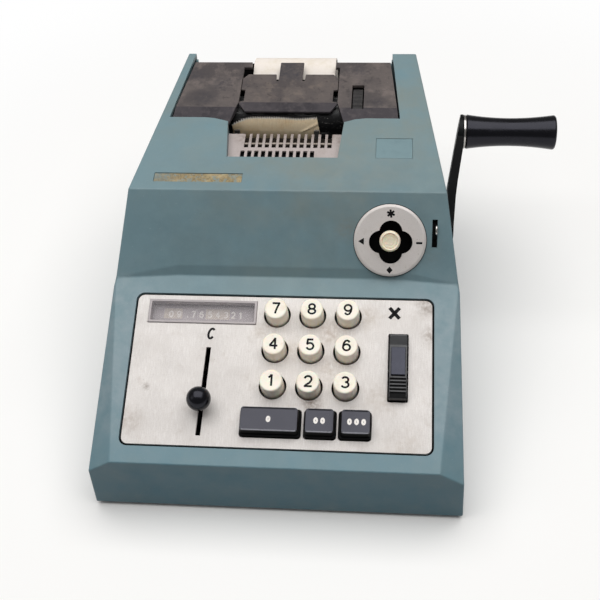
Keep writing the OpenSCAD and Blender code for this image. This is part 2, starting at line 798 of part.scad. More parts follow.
module top_cover() {
  color([0.36, 0.33, 0.32]) difference() {
    union() {
      for (p = [cov_pts, cov_pts_r]) {
        top_at(0, 0, cov_top - cov_t) linear_extrude(height = cov_t) polygon(p);
        intersection() {
          top_at(0, 0, cov_top - cov_lip) linear_extrude(height = cov_lip) polygon(p);
          top_at(-big, -big, -big) cube([2 * big, big + cov_s0 + cov_bev + 1, 2 * big]);
        }
      }
      for (x = [flap_x - flap_in - 3, flap_x + flap_in])
        top_at(x, bridge_s, bridge_h) cube([3, 5, cov_top - 1 - bridge_h]);
      top_at(flap_x - flap_in - 3, bridge_s, bridge_h) cube([2 * flap_in + 6, 5, 3]);
    }
    top_at(0, cov_s0 + cov_bev, cov_top) rotate([12, 0, 0]) translate([-big, -big, 0]) cube([2 * big, big, big]);
    top_at(thumb_x + thumb_w / 2, 90, cov_top - 6) block(thumb_w + 1.4, 24, 12);
    rod(thumb_x - 0.5, thumb_x + thumb_w + 0.5, plat_y, plat_z, thumb_r + 0.6);
    top_at(-big, flap_pin_s, flap_pin_h) rotate([0, 90, 0]) cylinder(r = flap_pin_r + 0.05, h = 2 * big);
  }
}

flap_pts = [[-28.4, 77.4], [-32.6, 82.4], [-32.6, 84.4], [-29.8, 84.9], [-29.8, 96.6], [-32.6, 97.1],
  [-32.6, 108.6], [-29.2, 113.5], [-10, 113.5], [-9.6, 106.6], [-8.1, 106.6], [-8.1, 126.4]];
module paper_flap() {
  color([0.34, 0.31, 0.3]) difference() {
    union() {
      for (m = [0, 1]) top_at(flap_x, 0, cov_top - 1.6) mirror([m, 0, 0]) linear_extrude(height = 1.6)
        polygon(concat(flap_pts, [[0.01, 126.4], [0.01, 77.4]]));
      for (x = [-29.4, 25.6]) top_at(flap_x + x, flap_pin_s - 2, flap_pin_h - 1.9)
        cube([3.8, 4, 1.9 - flap_pin_h + cov_top - 0.4]);
    }
    top_at(-big, flap_pin_s, flap_pin_h) rotate([0, 90, 0]) cylinder(r = flap_pin_r + fit, h = 2 * big);
  }
}

module flap_pin() {
  color([0.7, 0.7, 0.72]) top_at(flap_x - flap_in - 3, flap_pin_s, flap_pin_h) rotate([0, 90, 0])
    cylinder(r = flap_pin_r, h = 2 * flap_in + 6);
}

module paper_roll() {
  color([0.97, 0.96, 0.94]) difference() {
    rod(roll_x - paper_w / 2, roll_x + paper_w / 2, roll_y, roll_z, roll_r);
    rod(roll_x - paper_w, roll_x + paper_w, roll_y, roll_z, spin_r + 0.06);
  }
}

module roll_spindle() {
  color([0.65, 0.66, 0.68]) {
    rod(frame_l - 3.2, frame_r + frame_t + 3.2, roll_y, roll_z, spin_r);
    for (x = [frame_l - 3, frame_r + frame_t]) rod(x, x + 3, roll_y, roll_z, spin_r + 1.5);
  }
}

module spool(k) {
  color([0.25, 0.26, 0.28]) translate([spool_x[k], spool_y, spool_z]) difference() {
    union() {
      cylinder(r = spool_r, h = 1);
      translate([0, 0, 1]) cylinder(r = wound_r - 0.3, h = spool_h - 2);
      translate([0, 0, spool_h - 1]) cylinder(r = spool_r, h = 1);
    }
    translate([0, 0, -1]) cylinder(r = 2 + fit, h = spool_h + 2);
  }
}

module spool_left() { spool(0); }
module spool_right() { spool(1); }

module ink_ribbon() {
  color([0.1, 0.08, 0.12]) translate([spool_x[0], spool_y + wound_r, spool_z + 1.6])
    cube([spool_x[1] - spool_x[0], 0.4, spool_h - 3.2]);
}

// Plate under the ribbon: guides the type bars, carries the spools and holds the paper's edges
module ribbon_plate() {
  y0 = spool_y - 11;
  y1 = spool_y + 10;
  color([0.6, 0.6, 0.62]) {
    difference() {
      union() {
        translate([frame_l + frame_t, y0, spool_z - 2.4]) cube([frame_r - frame_l - frame_t, y1 - y0, 2]);
        translate([plat_x0 - 2, y1 - 1, spool_z - 2.4]) cube([plat_x1 - plat_x0 + 2, strip_y - y1 + 1, 2]);
      }
      for (k = [0:type_n - 1])
        translate([type_x0 + k * col_pitch - type_t / 2 - slack, type_y - slack, spool_z - 4])
          cube([type_t + 2 * slack, 3.8 + 2 * slack, 6]);
    }
    for (x = spool_x) translate([x, spool_y, spool_z - 1]) cylinder(r = 2, h = spool_h + 3);
    for (x = [-37, 24]) translate([x, spool_y + wound_r - 2, spool_z - 1]) cube([2, 2, spool_h]);
    for (x = [strip_x0, strip_x0 + paper_w - 3.5]) translate([x, strip_y - 1.6, spool_z - 1])
      cube([3.5, 1.6, plat_z - spool_z + 3]);
  }
}

// Side frames: one plate each side, with a foot on the base and bores for the shafts
frame_low = base_top;
function top_line(y, h) = top_z0 + (y - top_y0) * tan(top_a) + h / cos(top_a);
frame_pts = [[top_y0 + 20, frame_low], [rear_y - 12, frame_low], [rear_y - 6, bay_z + 4],
  [roll_y + 5, roll_z - 8], [roll_y + 5, roll_z + 5], [roll_y - 2, roll_z + 7],
  [roll_y - 8, top_line(roll_y - 8, -14)],
  [top_y0 + 118, top_line(top_y0 + 118, cov_top - cov_t)], [top_y0 + 82, top_line(top_y0 + 82, cov_top - cov_t)],
  [top_y0 + 78, top_line(top_y0 + 78, -9)], [top_y0 + 26, top_line(top_y0 + 26, -9)], [top_y0 + 20, shaft_z]];
module side_frames() {
  color([0.58, 0.59, 0.61]) difference() {
    for (x = [frame_l, frame_r]) {
      side_plate(frame_pts, x, frame_t);
      translate([x + (x < 0 ? 0 : frame_t - 12), top_y0 + 20, frame_low]) cube([12, rear_y - 12 - top_y0 - 20, 2]);
    }
    rod(-big, big, shaft_y, shaft_z, shaft_r + fit);
    rod(-big, big, plat_y, plat_z, axle_r + fit);
    rod(-big, big, plat_y, press_z, 2 + fit);
    rod(-big, big, roll_y, roll_z, spin_r + 0.05);
    for (p = tie_yz) rod(-big, big, top_y0 + p[0], top_z0 + p[1], tie_r - 0.95);
    rod(-big, big, reg_y, reg_z, 3 + fit);
  }
}

module tie_rods() {
  color([0.66, 0.67, 0.69]) for (p = tie_yz) {
    rod(frame_l + frame_t, frame_r, top_y0 + p[0], top_z0 + p[1], tie_r);
    rod(frame_l - 2.5, frame_l + frame_t + 1, top_y0 + p[0], top_z0 + p[1], tie_r - 1);
    rod(frame_r - 1, frame_r + frame_t + 2.5, top_y0 + p[0], top_z0 + p[1], tie_r - 1);
  }
}

reg_y = top_y0 + 74;
reg_z = top_z0 - 88;
module main_shaft() {
  color([0.68, 0.69, 0.71]) {
    rod(frame_l - 4, hub_x + hub_t, shaft_y, shaft_z, shaft_r);
    rod(frame_r + frame_t + 0.3, frame_r + frame_t + 4, shaft_y, shaft_z, shaft_r + 3);
    rod(frame_l - 4, frame_l - 0.3, shaft_y, shaft_z, shaft_r + 3);
  }
}

sector_r = 24;
module drive_sector() {
  color([0.55, 0.56, 0.58]) for (x = [-44, 32]) translate([x, shaft_y, shaft_z]) rotate([90, 0, 90])
    difference() {
      union() {
        linear_extrude(height = 3) polygon(concat([[0, 0]],
          [for (k = [0:24]) (sector_r - (k % 2) * 2) * [cos(200 + 5 * k), sin(200 + 5 * k)]]));
        cylinder(r = shaft_r + 4, h = 6);
      }
      translate([0, 0, -1]) cylinder(r = shaft_r + 0.05, h = 9);
    }
}

// Arm frame: hub on the shaft, local Z along the arm, leaning back and away from the casing
module arm_at() {
  translate([hub_x, shaft_y, shaft_z]) rotate([-arm_back, 0, 0]) children();
}

module crank_arm() {
  k = crank_r + 2 * eye_r;
  out = (k - arm_bend) * tan(arm_lean);
  color([0.16, 0.18, 0.18]) arm_at() difference() {
    union() {
      intersection() {
        rotate([90, 0, 0]) linear_extrude(height = 6 * eye_r, center = true)
          polygon(concat([[0, -2 * hub_r], [hub_t, -2 * hub_r], [hub_t, 0]], arm_mid,
            [[face_x, crank_r - eye_r], [out + arm_t, k], [out, k], [0, arm_bend]]));
        rotate([90, 0, 90]) linear_extrude(height = 3 * eye_r) {
          circle(r = hub_r);
          polygon([[-hub_r + 0.4, 0], [hub_r - 0.4, 0], [eye_r - 1, crank_r], [-eye_r + 1, crank_r]]);
          translate([0, crank_r]) circle(r = eye_r);
        }
      }
      translate([-1, 0, 0]) rotate([0, 90, 0]) cylinder(r = hub_r - 2, h = 2);
    }
    translate([face_x, -2 * eye_r, arm_bend]) cube([3 * eye_r, 4 * eye_r, k]);
    translate([-9, 0, 0]) rotate([0, 90, 0]) cylinder(r = shaft_r + 0.03, h = 30);
    translate([0, 0, crank_r]) rotate([0, 90, 0]) cylinder(r = pin_r2 + 0.05, h = 60);
  }
}

pin_r2 = 3;
pin_x0 = eye_out - 0.5;
module crank_ferrule() {
  color([0.88, 0.88, 0.9]) arm_at() translate([0, 0, crank_r]) rotate([0, 90, 0]) {
    translate([0, 0, face_x]) cylinder(r = ring_r, h = ring_t);
    translate([0, 0, pin_x0]) cylinder(r = pin_r2, h = face_x - pin_x0 + grip_l + ring_t - 2);
    translate([0, 0, face_x + ring_t + grip_l - 2.6]) cylinder(r = 5, h = 1.2);
  }
}

module crank_grip() {
  g0 = face_x + ring_t + grip_gap;
  color([0.05, 0.05, 0.06]) arm_at() translate([0, 0, crank_r]) rotate([0, 90, 0]) translate([0, 0, g0])
    difference() {
      rotate_extrude($fn = 96) polygon(concat([[0, 0]],
        [for (k = [0:16]) [waist_r + (grip_r - waist_r) * pow(abs(k - 8) / 8, 2), grip_l * k / 16]],
        [[grip_r - 1.4, grip_l + grip_cap], [0, grip_l + grip_cap]]));
      translate([0, 0, -1]) cylinder(r = pin_r2 + fit, h = grip_l + 1);
      translate([0, 0, grip_l - 3.6]) cylinder(r = 5.3, h = 2.2);
    }
}

module type_bars() {
  color([0.5, 0.5, 0.52]) {
    for (k = [0:type_n - 1]) translate([type_x0 + k * col_pitch - type_t / 2, type_y, type_z]) {
      cube([type_t, 3, type_h]);
      translate([0, 3, type_h - 8]) cube([type_t, 0.8, 7]);
    }
    translate([type_x0 - 5, type_y, type_z - 5]) cube([(type_n - 1) * col_pitch + 10, 3, 5]);
  }
}

// Ten-toothed adding wheels on one shaft
reg_r = 12;
module register_wheels() {
  color([0.72, 0.62, 0.4]) {
    rod(frame_l - 2.5, frame_r + frame_t + 2.5, reg_y, reg_z, 3);
    for (k = [0:type_n - 1]) translate([type_x0 + k * col_pitch - 1.2, reg_y, reg_z]) rotate([90, 0, 90])
      linear_extrude(height = 2.4)
        polygon([for (i = [0:39]) (i % 4 < 2 ? reg_r : reg_r - 2.6) * [cos(9 * i), sin(9 * i)]]);
  }
}

settle() upper_casing();
settle() base_plate();
settle() rubber_feet();
settle() base_screws();
settle() keyboard_panel();
settle() window_lens();
settle() indicator_scale();
settle() key_1();
settle() key_2();
settle() key_3();
settle() key_4();
settle() key_5();
settle() key_6();
settle() key_7();
settle() key_8();
settle() key_9();
settle() key_0();
settle() key_00();
settle() key_000();
settle() stem_guide();
settle() keyboard_posts();
settle() spring_comb();
settle() pin_carriage();
settle() carriage_rail();
settle() clear_lever();
settle() clear_knob();
settle() lever_brackets();
settle() multiply_rocker();
settle() selector_ring();
settle() selector_cup();
settle() selector_gimbal();
settle() selector_button();
settle() selector_stem();
settle() release_tab();
settle() tab_guide();
settle() name_plate();
settle() badge_plate();
settle() comb_plate();
settle() paper_strip();
settle() platen();
settle() thumbwheel();
settle() pressure_rollers();
settle() top_cover();
settle() paper_flap();
settle() flap_pin();
settle() paper_roll();
settle() roll_spindle();
settle() spool_left();
settle() spool_right();
settle() ink_ribbon();
settle() ribbon_plate();
settle() side_frames();
settle() tie_rods();
settle() main_shaft();
settle() drive_sector();
settle() crank_arm();
settle() crank_ferrule();
settle() crank_grip();
settle() type_bars();
settle() register_wheels();
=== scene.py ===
import json
import math

import bmesh
import bpy
from mathutils import Matrix, Vector

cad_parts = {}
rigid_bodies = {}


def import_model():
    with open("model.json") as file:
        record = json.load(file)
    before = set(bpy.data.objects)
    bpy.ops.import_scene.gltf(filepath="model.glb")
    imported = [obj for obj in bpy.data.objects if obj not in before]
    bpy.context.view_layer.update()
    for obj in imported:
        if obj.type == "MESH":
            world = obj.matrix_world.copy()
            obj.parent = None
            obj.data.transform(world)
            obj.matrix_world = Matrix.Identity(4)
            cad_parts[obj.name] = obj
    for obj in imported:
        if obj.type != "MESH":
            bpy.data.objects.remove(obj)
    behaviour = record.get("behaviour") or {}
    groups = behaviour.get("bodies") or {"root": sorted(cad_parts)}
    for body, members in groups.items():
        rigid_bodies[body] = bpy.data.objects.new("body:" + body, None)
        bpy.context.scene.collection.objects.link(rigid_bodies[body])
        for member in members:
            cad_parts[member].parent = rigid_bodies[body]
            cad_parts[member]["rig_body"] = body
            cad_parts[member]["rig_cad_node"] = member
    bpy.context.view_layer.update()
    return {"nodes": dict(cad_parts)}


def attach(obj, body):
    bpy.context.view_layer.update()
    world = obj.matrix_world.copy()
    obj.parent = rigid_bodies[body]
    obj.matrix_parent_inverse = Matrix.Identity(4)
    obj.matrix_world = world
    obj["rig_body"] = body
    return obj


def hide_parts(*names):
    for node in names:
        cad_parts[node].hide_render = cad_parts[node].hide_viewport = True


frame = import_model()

bl_info = {
    "name": "Hand-cranked adding machine",
    "version": (1, 0, 0),
    "blender": (4, 5, 0),
    "location": "View3D > Sidebar > Adding machine",
    "description": "Models the visible pieces of a hand-cranked printing adding machine over its CAD frame",
    "category": "Object",
}

MM = 0.001

# Pieces are modelled in millimetres on the machine's own planes, with the casing's middle as zero.
# ROW then brings them to metres and to the middle of the whole outline.
MID_X, MID_Y = 30.4405, 7.6706
FRONT_Y, REAR_Y, LOW_Z = -140.5, 140.5, 3.0
DECK_Z, DECK_SLOPE, DECK_LENGTH = 45.8, 20.0, 117.8
RISER_Y, RISER_Z, RISER_SLOPE = -29.8042, 86.0900, 51.8
TOP_Y, TOP_Z, TOP_SLOPE = 4.6410, 129.8619, 4.0
# Casing: half widths at its foot, at the riser's foot and at the deck's front edge, lean of its sides, drop
# of the deck's side bevels at the front, and thickness of its wall
HALF_FOOT, HALF_RISER, HALF_DECK, SIDE_LEAN, BEVEL_DROP, WALL = 111.0, 106.5, 95.2, 0.04541, 9.8, 2.4
PLATEN_Y, PLATEN_Z = TOP_Y + 90.0, TOP_Z - 11.9
ROLL_Y, ROLL_Z, ROLL_R = TOP_Y + 132.2, TOP_Z - 14.5, 19.0
SHAFT_Y, SHAFT_Z = TOP_Y + 35.0, TOP_Z - 60.0


def turn(degrees, axis):
    return Matrix.Rotation(math.radians(degrees), 4, axis)


def shift(x, y, z):
    return Matrix.Translation((x, y, z))


ROW = Matrix.Scale(MM, 4) @ shift(-MID_X, -MID_Y, 0.0)
DECK = shift(0.0, FRONT_Y, DECK_Z) @ turn(DECK_SLOPE, "X")
RISER = shift(0.0, RISER_Y, RISER_Z) @ turn(RISER_SLOPE, "X")
TOP = shift(0.0, TOP_Y, TOP_Z) @ turn(TOP_SLOPE, "X")
# On the deck: the middles of panel, lever slot and rocker, the lens's sides, the rows of keys, and the
# heights between which a tool cuts through
PANEL_X, PANEL_Y = 0.2, 59.3
SLOT = shift(-44.25, 45.6, 0.0) @ turn(-1.6, "Z")
ROCKER_X, ROCKER_Y = 70.65, 63.35
LENS_X0, LENS_X1, LENS_Y0, LENS_Y1 = -81.3, -17.5, 90.1, 102.3
KEY_COLUMNS = [-3.15 + 21.6 * i for i in range(3)]
KEY_ROWS = [49.6 + 22.8 * j for j in range(3)]
ZERO_Y, ZERO_LENGTH = 18.5, 16.5
THROUGH = (-9.0, 4.0)
LEVER = DECK @ SLOT @ shift(0.0, 0.0, -32.0) @ turn(11.5, "X")
ARM = shift(101.6, SHAFT_Y, SHAFT_Z) @ turn(-48.0, "X")
DIAL = RISER @ shift(64.2, 26.4, 0.0)
TAB = RISER @ shift(91.2, 29.6, 0.0)
# An outline drawn in the side view, as (depth, height), and raised along X
SIDE = Matrix(((0, 0, 1, 0), (1, 0, 0, 0), (0, 1, 0, 0), (0, 0, 0, 1)))
# From millimetres on the row frame, where the CAD pieces stand, to the machine's own zero
MILLI = ROW.inverted() @ Matrix.Scale(MM, 4)
# The photo's viewpoint, and the camera's right, up and back
CAMERA = (63.112, -461.036, 524.806)
VIEW = Matrix(((0.995991, -0.023057, 0.086436), (0.076224, 0.724498, -0.685049),
               (-0.046827, 0.688891, 0.723351)))

DIGITS = ("1", "2", "3", "4", "5", "6", "7", "8", "9")
# Zero keys: node, figures, place, width, stems, and how far the top leans sideways
ZEROS = (("key_0", "0", -2.85, 34.9, (-10.0, 10.0), -0.4), ("key_00", "00", 26.15, 17.9, (0.0,), -0.1),
         ("key_000", "000", 46.4, 18.0, (0.0,), 0.6))
# Comb plate: its length, its depth under the top, and the middle of the type bars behind it
COMB_LENGTH, COMB_LOW, MECH_X = 28.5, -6.0, -4.5
FINISH = {}


def linear(code):
    """An sRGB hex colour as linear RGBA."""
    parts = [int(code[i:i + 2], 16) / 255.0 for i in (1, 3, 5)]
    return tuple(c / 12.92 if c <= 0.04045 else ((c + 0.055) / 1.055) ** 2.4 for c in parts) + (1.0,)


def deselect():
    if bpy.context.mode != "OBJECT":
        bpy.ops.object.mode_set(mode="OBJECT")
    bpy.ops.object.select_all(action="DESELECT")


def only(obj):
    deselect()
    obj.select_set(True)
    bpy.context.view_layer.objects.active = obj
    return obj


def primitive(kind, name, **size):
    deselect()
    getattr(bpy.ops.mesh, "primitive_%s_add" % kind)(**size)
    obj = bpy.context.object
    obj.name = name
    bpy.ops.object.transform_apply(location=True, rotation=True, scale=True)
    return obj


def edit(obj):
    """Opens a piece for editing and gives its mesh, with all of it selected."""
    only(obj)
    bpy.ops.object.mode_set(mode="EDIT")
    bpy.ops.mesh.select_mode(type="VERT")
    bpy.ops.mesh.select_all(action="SELECT")
    return bmesh.from_edit_mesh(obj.data)


def pick(obj, kind, test):
    """Selects the faces or vertices of the piece being edited whose place and normal pass a test."""
    bpy.ops.mesh.select_mode(type=kind)
    bpy.ops.mesh.select_all(action="DESELECT")
    mesh = bmesh.from_edit_mesh(obj.data)
    mesh.normal_update()
    if kind == "FACE":
        for f in mesh.faces:
            f.select_set(test(f.calc_center_median(), f.normal))
    else:
        for v in mesh.verts:
            v.select_set(test(v.co, v.normal))
    mesh.select_flush_mode()
    bmesh.update_edit_mesh(obj.data)


def slab(name, points, low, high):
    """A flat outline raised from low to high: a filled circle with its rim moved to the outline, extruded."""
    obj = primitive("circle", name, vertices=len(points), radius=1.0, fill_type="NGON")
    mesh = edit(obj)
    mesh.verts.ensure_lookup_table()
    for v, (x, y) in zip(mesh.verts, points):
        v.co = (x, y, low)
    bmesh.update_edit_mesh(obj.data)
    bpy.ops.mesh.extrude_region_move(TRANSFORM_OT_translate={"value": (0.0, 0.0, high - low)})
    bpy.ops.mesh.select_all(action="SELECT")
    bpy.ops.mesh.normals_make_consistent(inside=False)
    bpy.ops.object.mode_set(mode="OBJECT")
    return obj


def box(name, x0, x1, y0, y1, z0, z1):
    return slab(name, [(x0, y0), (x1, y0), (x1, y1), (x0, y1)], z0, z1)


def turned(name, profile, steps=64):
    """A turned piece round Z: one corner is drawn out along the profile of (radius, height) and spun."""
    obj = primitive("plane", name, size=1.0)
    edit(obj)
    bpy.ops.mesh.merge(type="CENTER")
    bpy.ops.transform.translate(value=(profile[0][0], 0.0, profile[0][1]))
    for a, b in zip(profile, profile[1:]):
        bpy.ops.mesh.extrude_region_move(TRANSFORM_OT_translate={"value": (b[0] - a[0], 0.0, b[1] - a[1])})
    bpy.ops.mesh.select_all(action="SELECT")
    bpy.ops.mesh.spin(steps=steps, angle=2 * math.pi, center=(0, 0, 0), axis=(0, 0, 1), dupli=False)
    bpy.ops.mesh.select_all(action="SELECT")
    bpy.ops.mesh.remove_doubles(threshold=0.0005)
    bpy.ops.mesh.normals_make_consistent(inside=False)
    bpy.ops.object.mode_set(mode="OBJECT")
    return obj


def bow(x, y, rx, ry, start, end, steps=14):
    """Points along part of an ellipse, between two angles in degrees."""
    angles = [math.radians(start + (end - start) * k / steps) for k in range(steps + 1)]
    return [(x + rx * math.cos(a), y + ry * math.sin(a)) for a in angles]


def arc(x, y, r, start, end, steps):
    return bow(x, y, r, r, start, end, steps)


def circle(x, y, r, points=64):
    return arc(x, y, r, 0, 360 - 360 / points, points - 1)


def rounded(x, y, w, l, r, steps=6):
    """Outline of a rectangle with rounded corners, given by its middle."""
    a, b = w / 2 - r, l / 2 - r
    return (arc(x + a, y + b, r, 0, 90, steps) + arc(x - a, y + b, r, 90, 180, steps)
            + arc(x - a, y - b, r, 180, 270, steps) + arc(x + a, y - b, r, 270, 360, steps))


def move(obj, place):
    """Moves a piece and writes its place into its mesh."""
    only(obj)
    obj.matrix_world = place @ obj.matrix_world
    bpy.ops.object.transform_apply(location=True, rotation=True, scale=True)
    return obj


def join(name, pieces):
    deselect()
    for p in pieces:
        p.select_set(True)
    bpy.context.view_layer.objects.active = pieces[0]
    if len(pieces) > 1:
        bpy.ops.object.join()
    obj = bpy.context.object
    obj.name = name
    return obj


def copy_of(obj, name, place=None):
    only(obj)
    bpy.ops.object.duplicate(linked=False)
    made = bpy.context.object
    made.name = name
    return move(made, place) if place else made


def apply(obj, kind, **settings):
    m = obj.modifiers.new(kind.title(), kind)
    for key, value in settings.items():
        setattr(m, key, value)
    only(obj)
    bpy.ops.object.modifier_apply(modifier=m.name)
    return obj


def carve(obj, tool):
    """Cuts one piece with another, which is used up."""
    apply(obj, "BOOLEAN", object=tool, operation="DIFFERENCE", solver="EXACT")
    bpy.data.objects.remove(tool, do_unlink=True)
    return obj


def soften(obj, width, segments=2, angle=30.0):
    """Rounds every edge sharper than an angle."""
    return apply(obj, "BEVEL", width=width, segments=segments, limit_method="ANGLE",
                 angle_limit=math.radians(angle), miter_outer="MITER_ARC")


def tidy(obj, merge, flat=0.4):
    """Merges a piece's doubles and joins its flat faces."""
    edit(obj)
    bpy.ops.mesh.remove_doubles(threshold=merge)
    bpy.ops.mesh.dissolve_limited(angle_limit=math.radians(flat))
    bpy.ops.object.mode_set(mode="OBJECT")
    return obj


def settle(obj, place, look, body, nodes=(), angle=35.0):
    """Brings a finished piece to the row frame, smooths it, and gives it its finish and its body."""
    only(move(obj, ROW @ place))
    bpy.ops.object.shade_smooth_by_angle(angle=math.radians(angle))
    apply(obj, "WEIGHTED_NORMAL", keep_sharp=True)
    obj.data.materials.clear()
    obj.data.materials.append(FINISH[look])
    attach(obj, body)
    if nodes:
        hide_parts(*nodes)
    return obj


def dressed(name, node, width, segments, angle, look, body, place=MILLI):
    """Settles a copy of a CAD piece in its stead, with its triangles merged and its edges rounded."""
    only(frame["nodes"][node])
    bpy.ops.object.duplicate(linked=False)
    obj = bpy.context.object
    bpy.ops.object.parent_clear(type="CLEAR_KEEP_TRANSFORM")
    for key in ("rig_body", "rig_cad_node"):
        del obj[key]
    obj.name = name
    move(obj, Matrix.Scale(1.0 / MM, 4))
    soften(tidy(obj, 0.002), width, segments, angle)
    return settle(obj, place, look, body, (node,))


# Strokes of the plain figures and signs, each in a square from -1 to 1
FIGURES = {
    "0": [bow(0, 0, 1, 1, 0, 360, 28)],
    "1": [[(-0.75, 0.5), (-0.3, 0.72), (0.1, 1.12)], [(0.12, 1.12), (0.12, -1.15)]],
    "2": [bow(0, 0.4, 0.98, 0.6, 168, -28) + [(0.45, -0.28), (-0.5, -0.72), (-0.95, -1.1)],
          [(-1.1, -1), (1.15, -1)]],
    "3": [bow(-0.02, 0.5, 0.88, 0.5, 158, -90), bow(-0.02, -0.47, 1.0, 0.53, 90, -160)],
    "4": [[(0.42, 1.15), (0.42, -1.15)], [(0.5, 1.1), (-1.1, -0.42)], [(-1.2, -0.42), (1.15, -0.42)]],
    "5": [[(0.9, 1), (-0.78, 1)], [(-0.62, 1.12), (-0.82, -0.02)], bow(0, -0.34, 1, 0.66, 148, -158)],
    "6": [[(0.82, 0.62), (0.55, 0.9), (0.1, 1.0), (-0.4, 0.88), (-0.8, 0.45), (-0.98, -0.1), (-1.0, -0.4)],
          bow(0, -0.38, 1, 0.62, 180, 540, 24)],
    "7": [[(-1.1, 1), (1.1, 1)], [(0.98, 1.1), (0.4, 0.25), (0.0, -0.5), (-0.2, -1.15)]],
    "8": [bow(0, 0.5, 0.84, 0.5, 0, 360, 22), bow(0, -0.48, 1, 0.52, 0, 360, 24)],
    "C": [bow(0.1, 0, 1, 1, 42, 322, 20)],
    "x": [[(-1, -1), (1, 1)], [(-1, 1), (1, -1)]],
    ".": [[(-0.35, -0.9), (0.35, -0.9)]],
}
FIGURES["9"] = [[(-x, -y) for x, y in stroke] for stroke in FIGURES["6"]]


def figure(name, sign, width, height, stroke, x, y, z, slant=0.0):
    """A flat figure: each stroke is a long grid whose two sides are laid along the stroke's line."""
    strips = []
    a, b = (width - stroke) / 2, (height - stroke) / 2
    for line in FIGURES[sign]:
        line = [Vector((a * u + slant * b * v, b * v)) for u, v in line]
        closed = (line[0] - line[-1]).length < 0.01
        strip = primitive("grid", name, x_subdivisions=len(line) - 1, y_subdivisions=1, size=2.0)
        mesh = edit(strip)
        stations = sorted({round(v.co.x, 4) for v in mesh.verts})
        for v in mesh.verts:
            k = stations.index(round(v.co.x, 4))
            last = len(line) - 1
            before = line[k - 1] if k else line[last - 1] if closed else line[0]
            after = line[k + 1] if k < last else line[1] if closed else line[last]
            run = (after - before).normalized()
            spot = line[k] + math.copysign(stroke / 2, v.co.y) * Vector((-run.y, run.x))
            v.co = (x + spot.x, y + spot.y, z)
        bmesh.update_edit_mesh(strip.data)
        bpy.ops.object.mode_set(mode="OBJECT")
        strips.append(strip)
    return join(name, strips)


def lay_on(obj, target, lift):
    """Drops flat marks on the surface below them."""
    edit(obj)
    bpy.ops.mesh.quads_convert_to_tris()
    bpy.ops.mesh.subdivide(number_cuts=1)
    bpy.ops.object.mode_set(mode="OBJECT")
    return apply(obj, "SHRINKWRAP", target=target, wrap_method="PROJECT", use_project_z=True,
                 use_negative_direction=True, use_positive_direction=False, offset=lift)


def add(tree, kind, inputs=None, **settings):
    """Adds one shader node with its settings, values and links."""
    node = tree.nodes.new("ShaderNode" + kind)
    for key, value in settings.items():
        setattr(node, key, value)
    for key, value in (inputs or {}).items():
        if isinstance(value, bpy.types.NodeSocket):
            tree.links.new(value, node.inputs[key])
        else:
            node.inputs[key].default_value = value
    return node


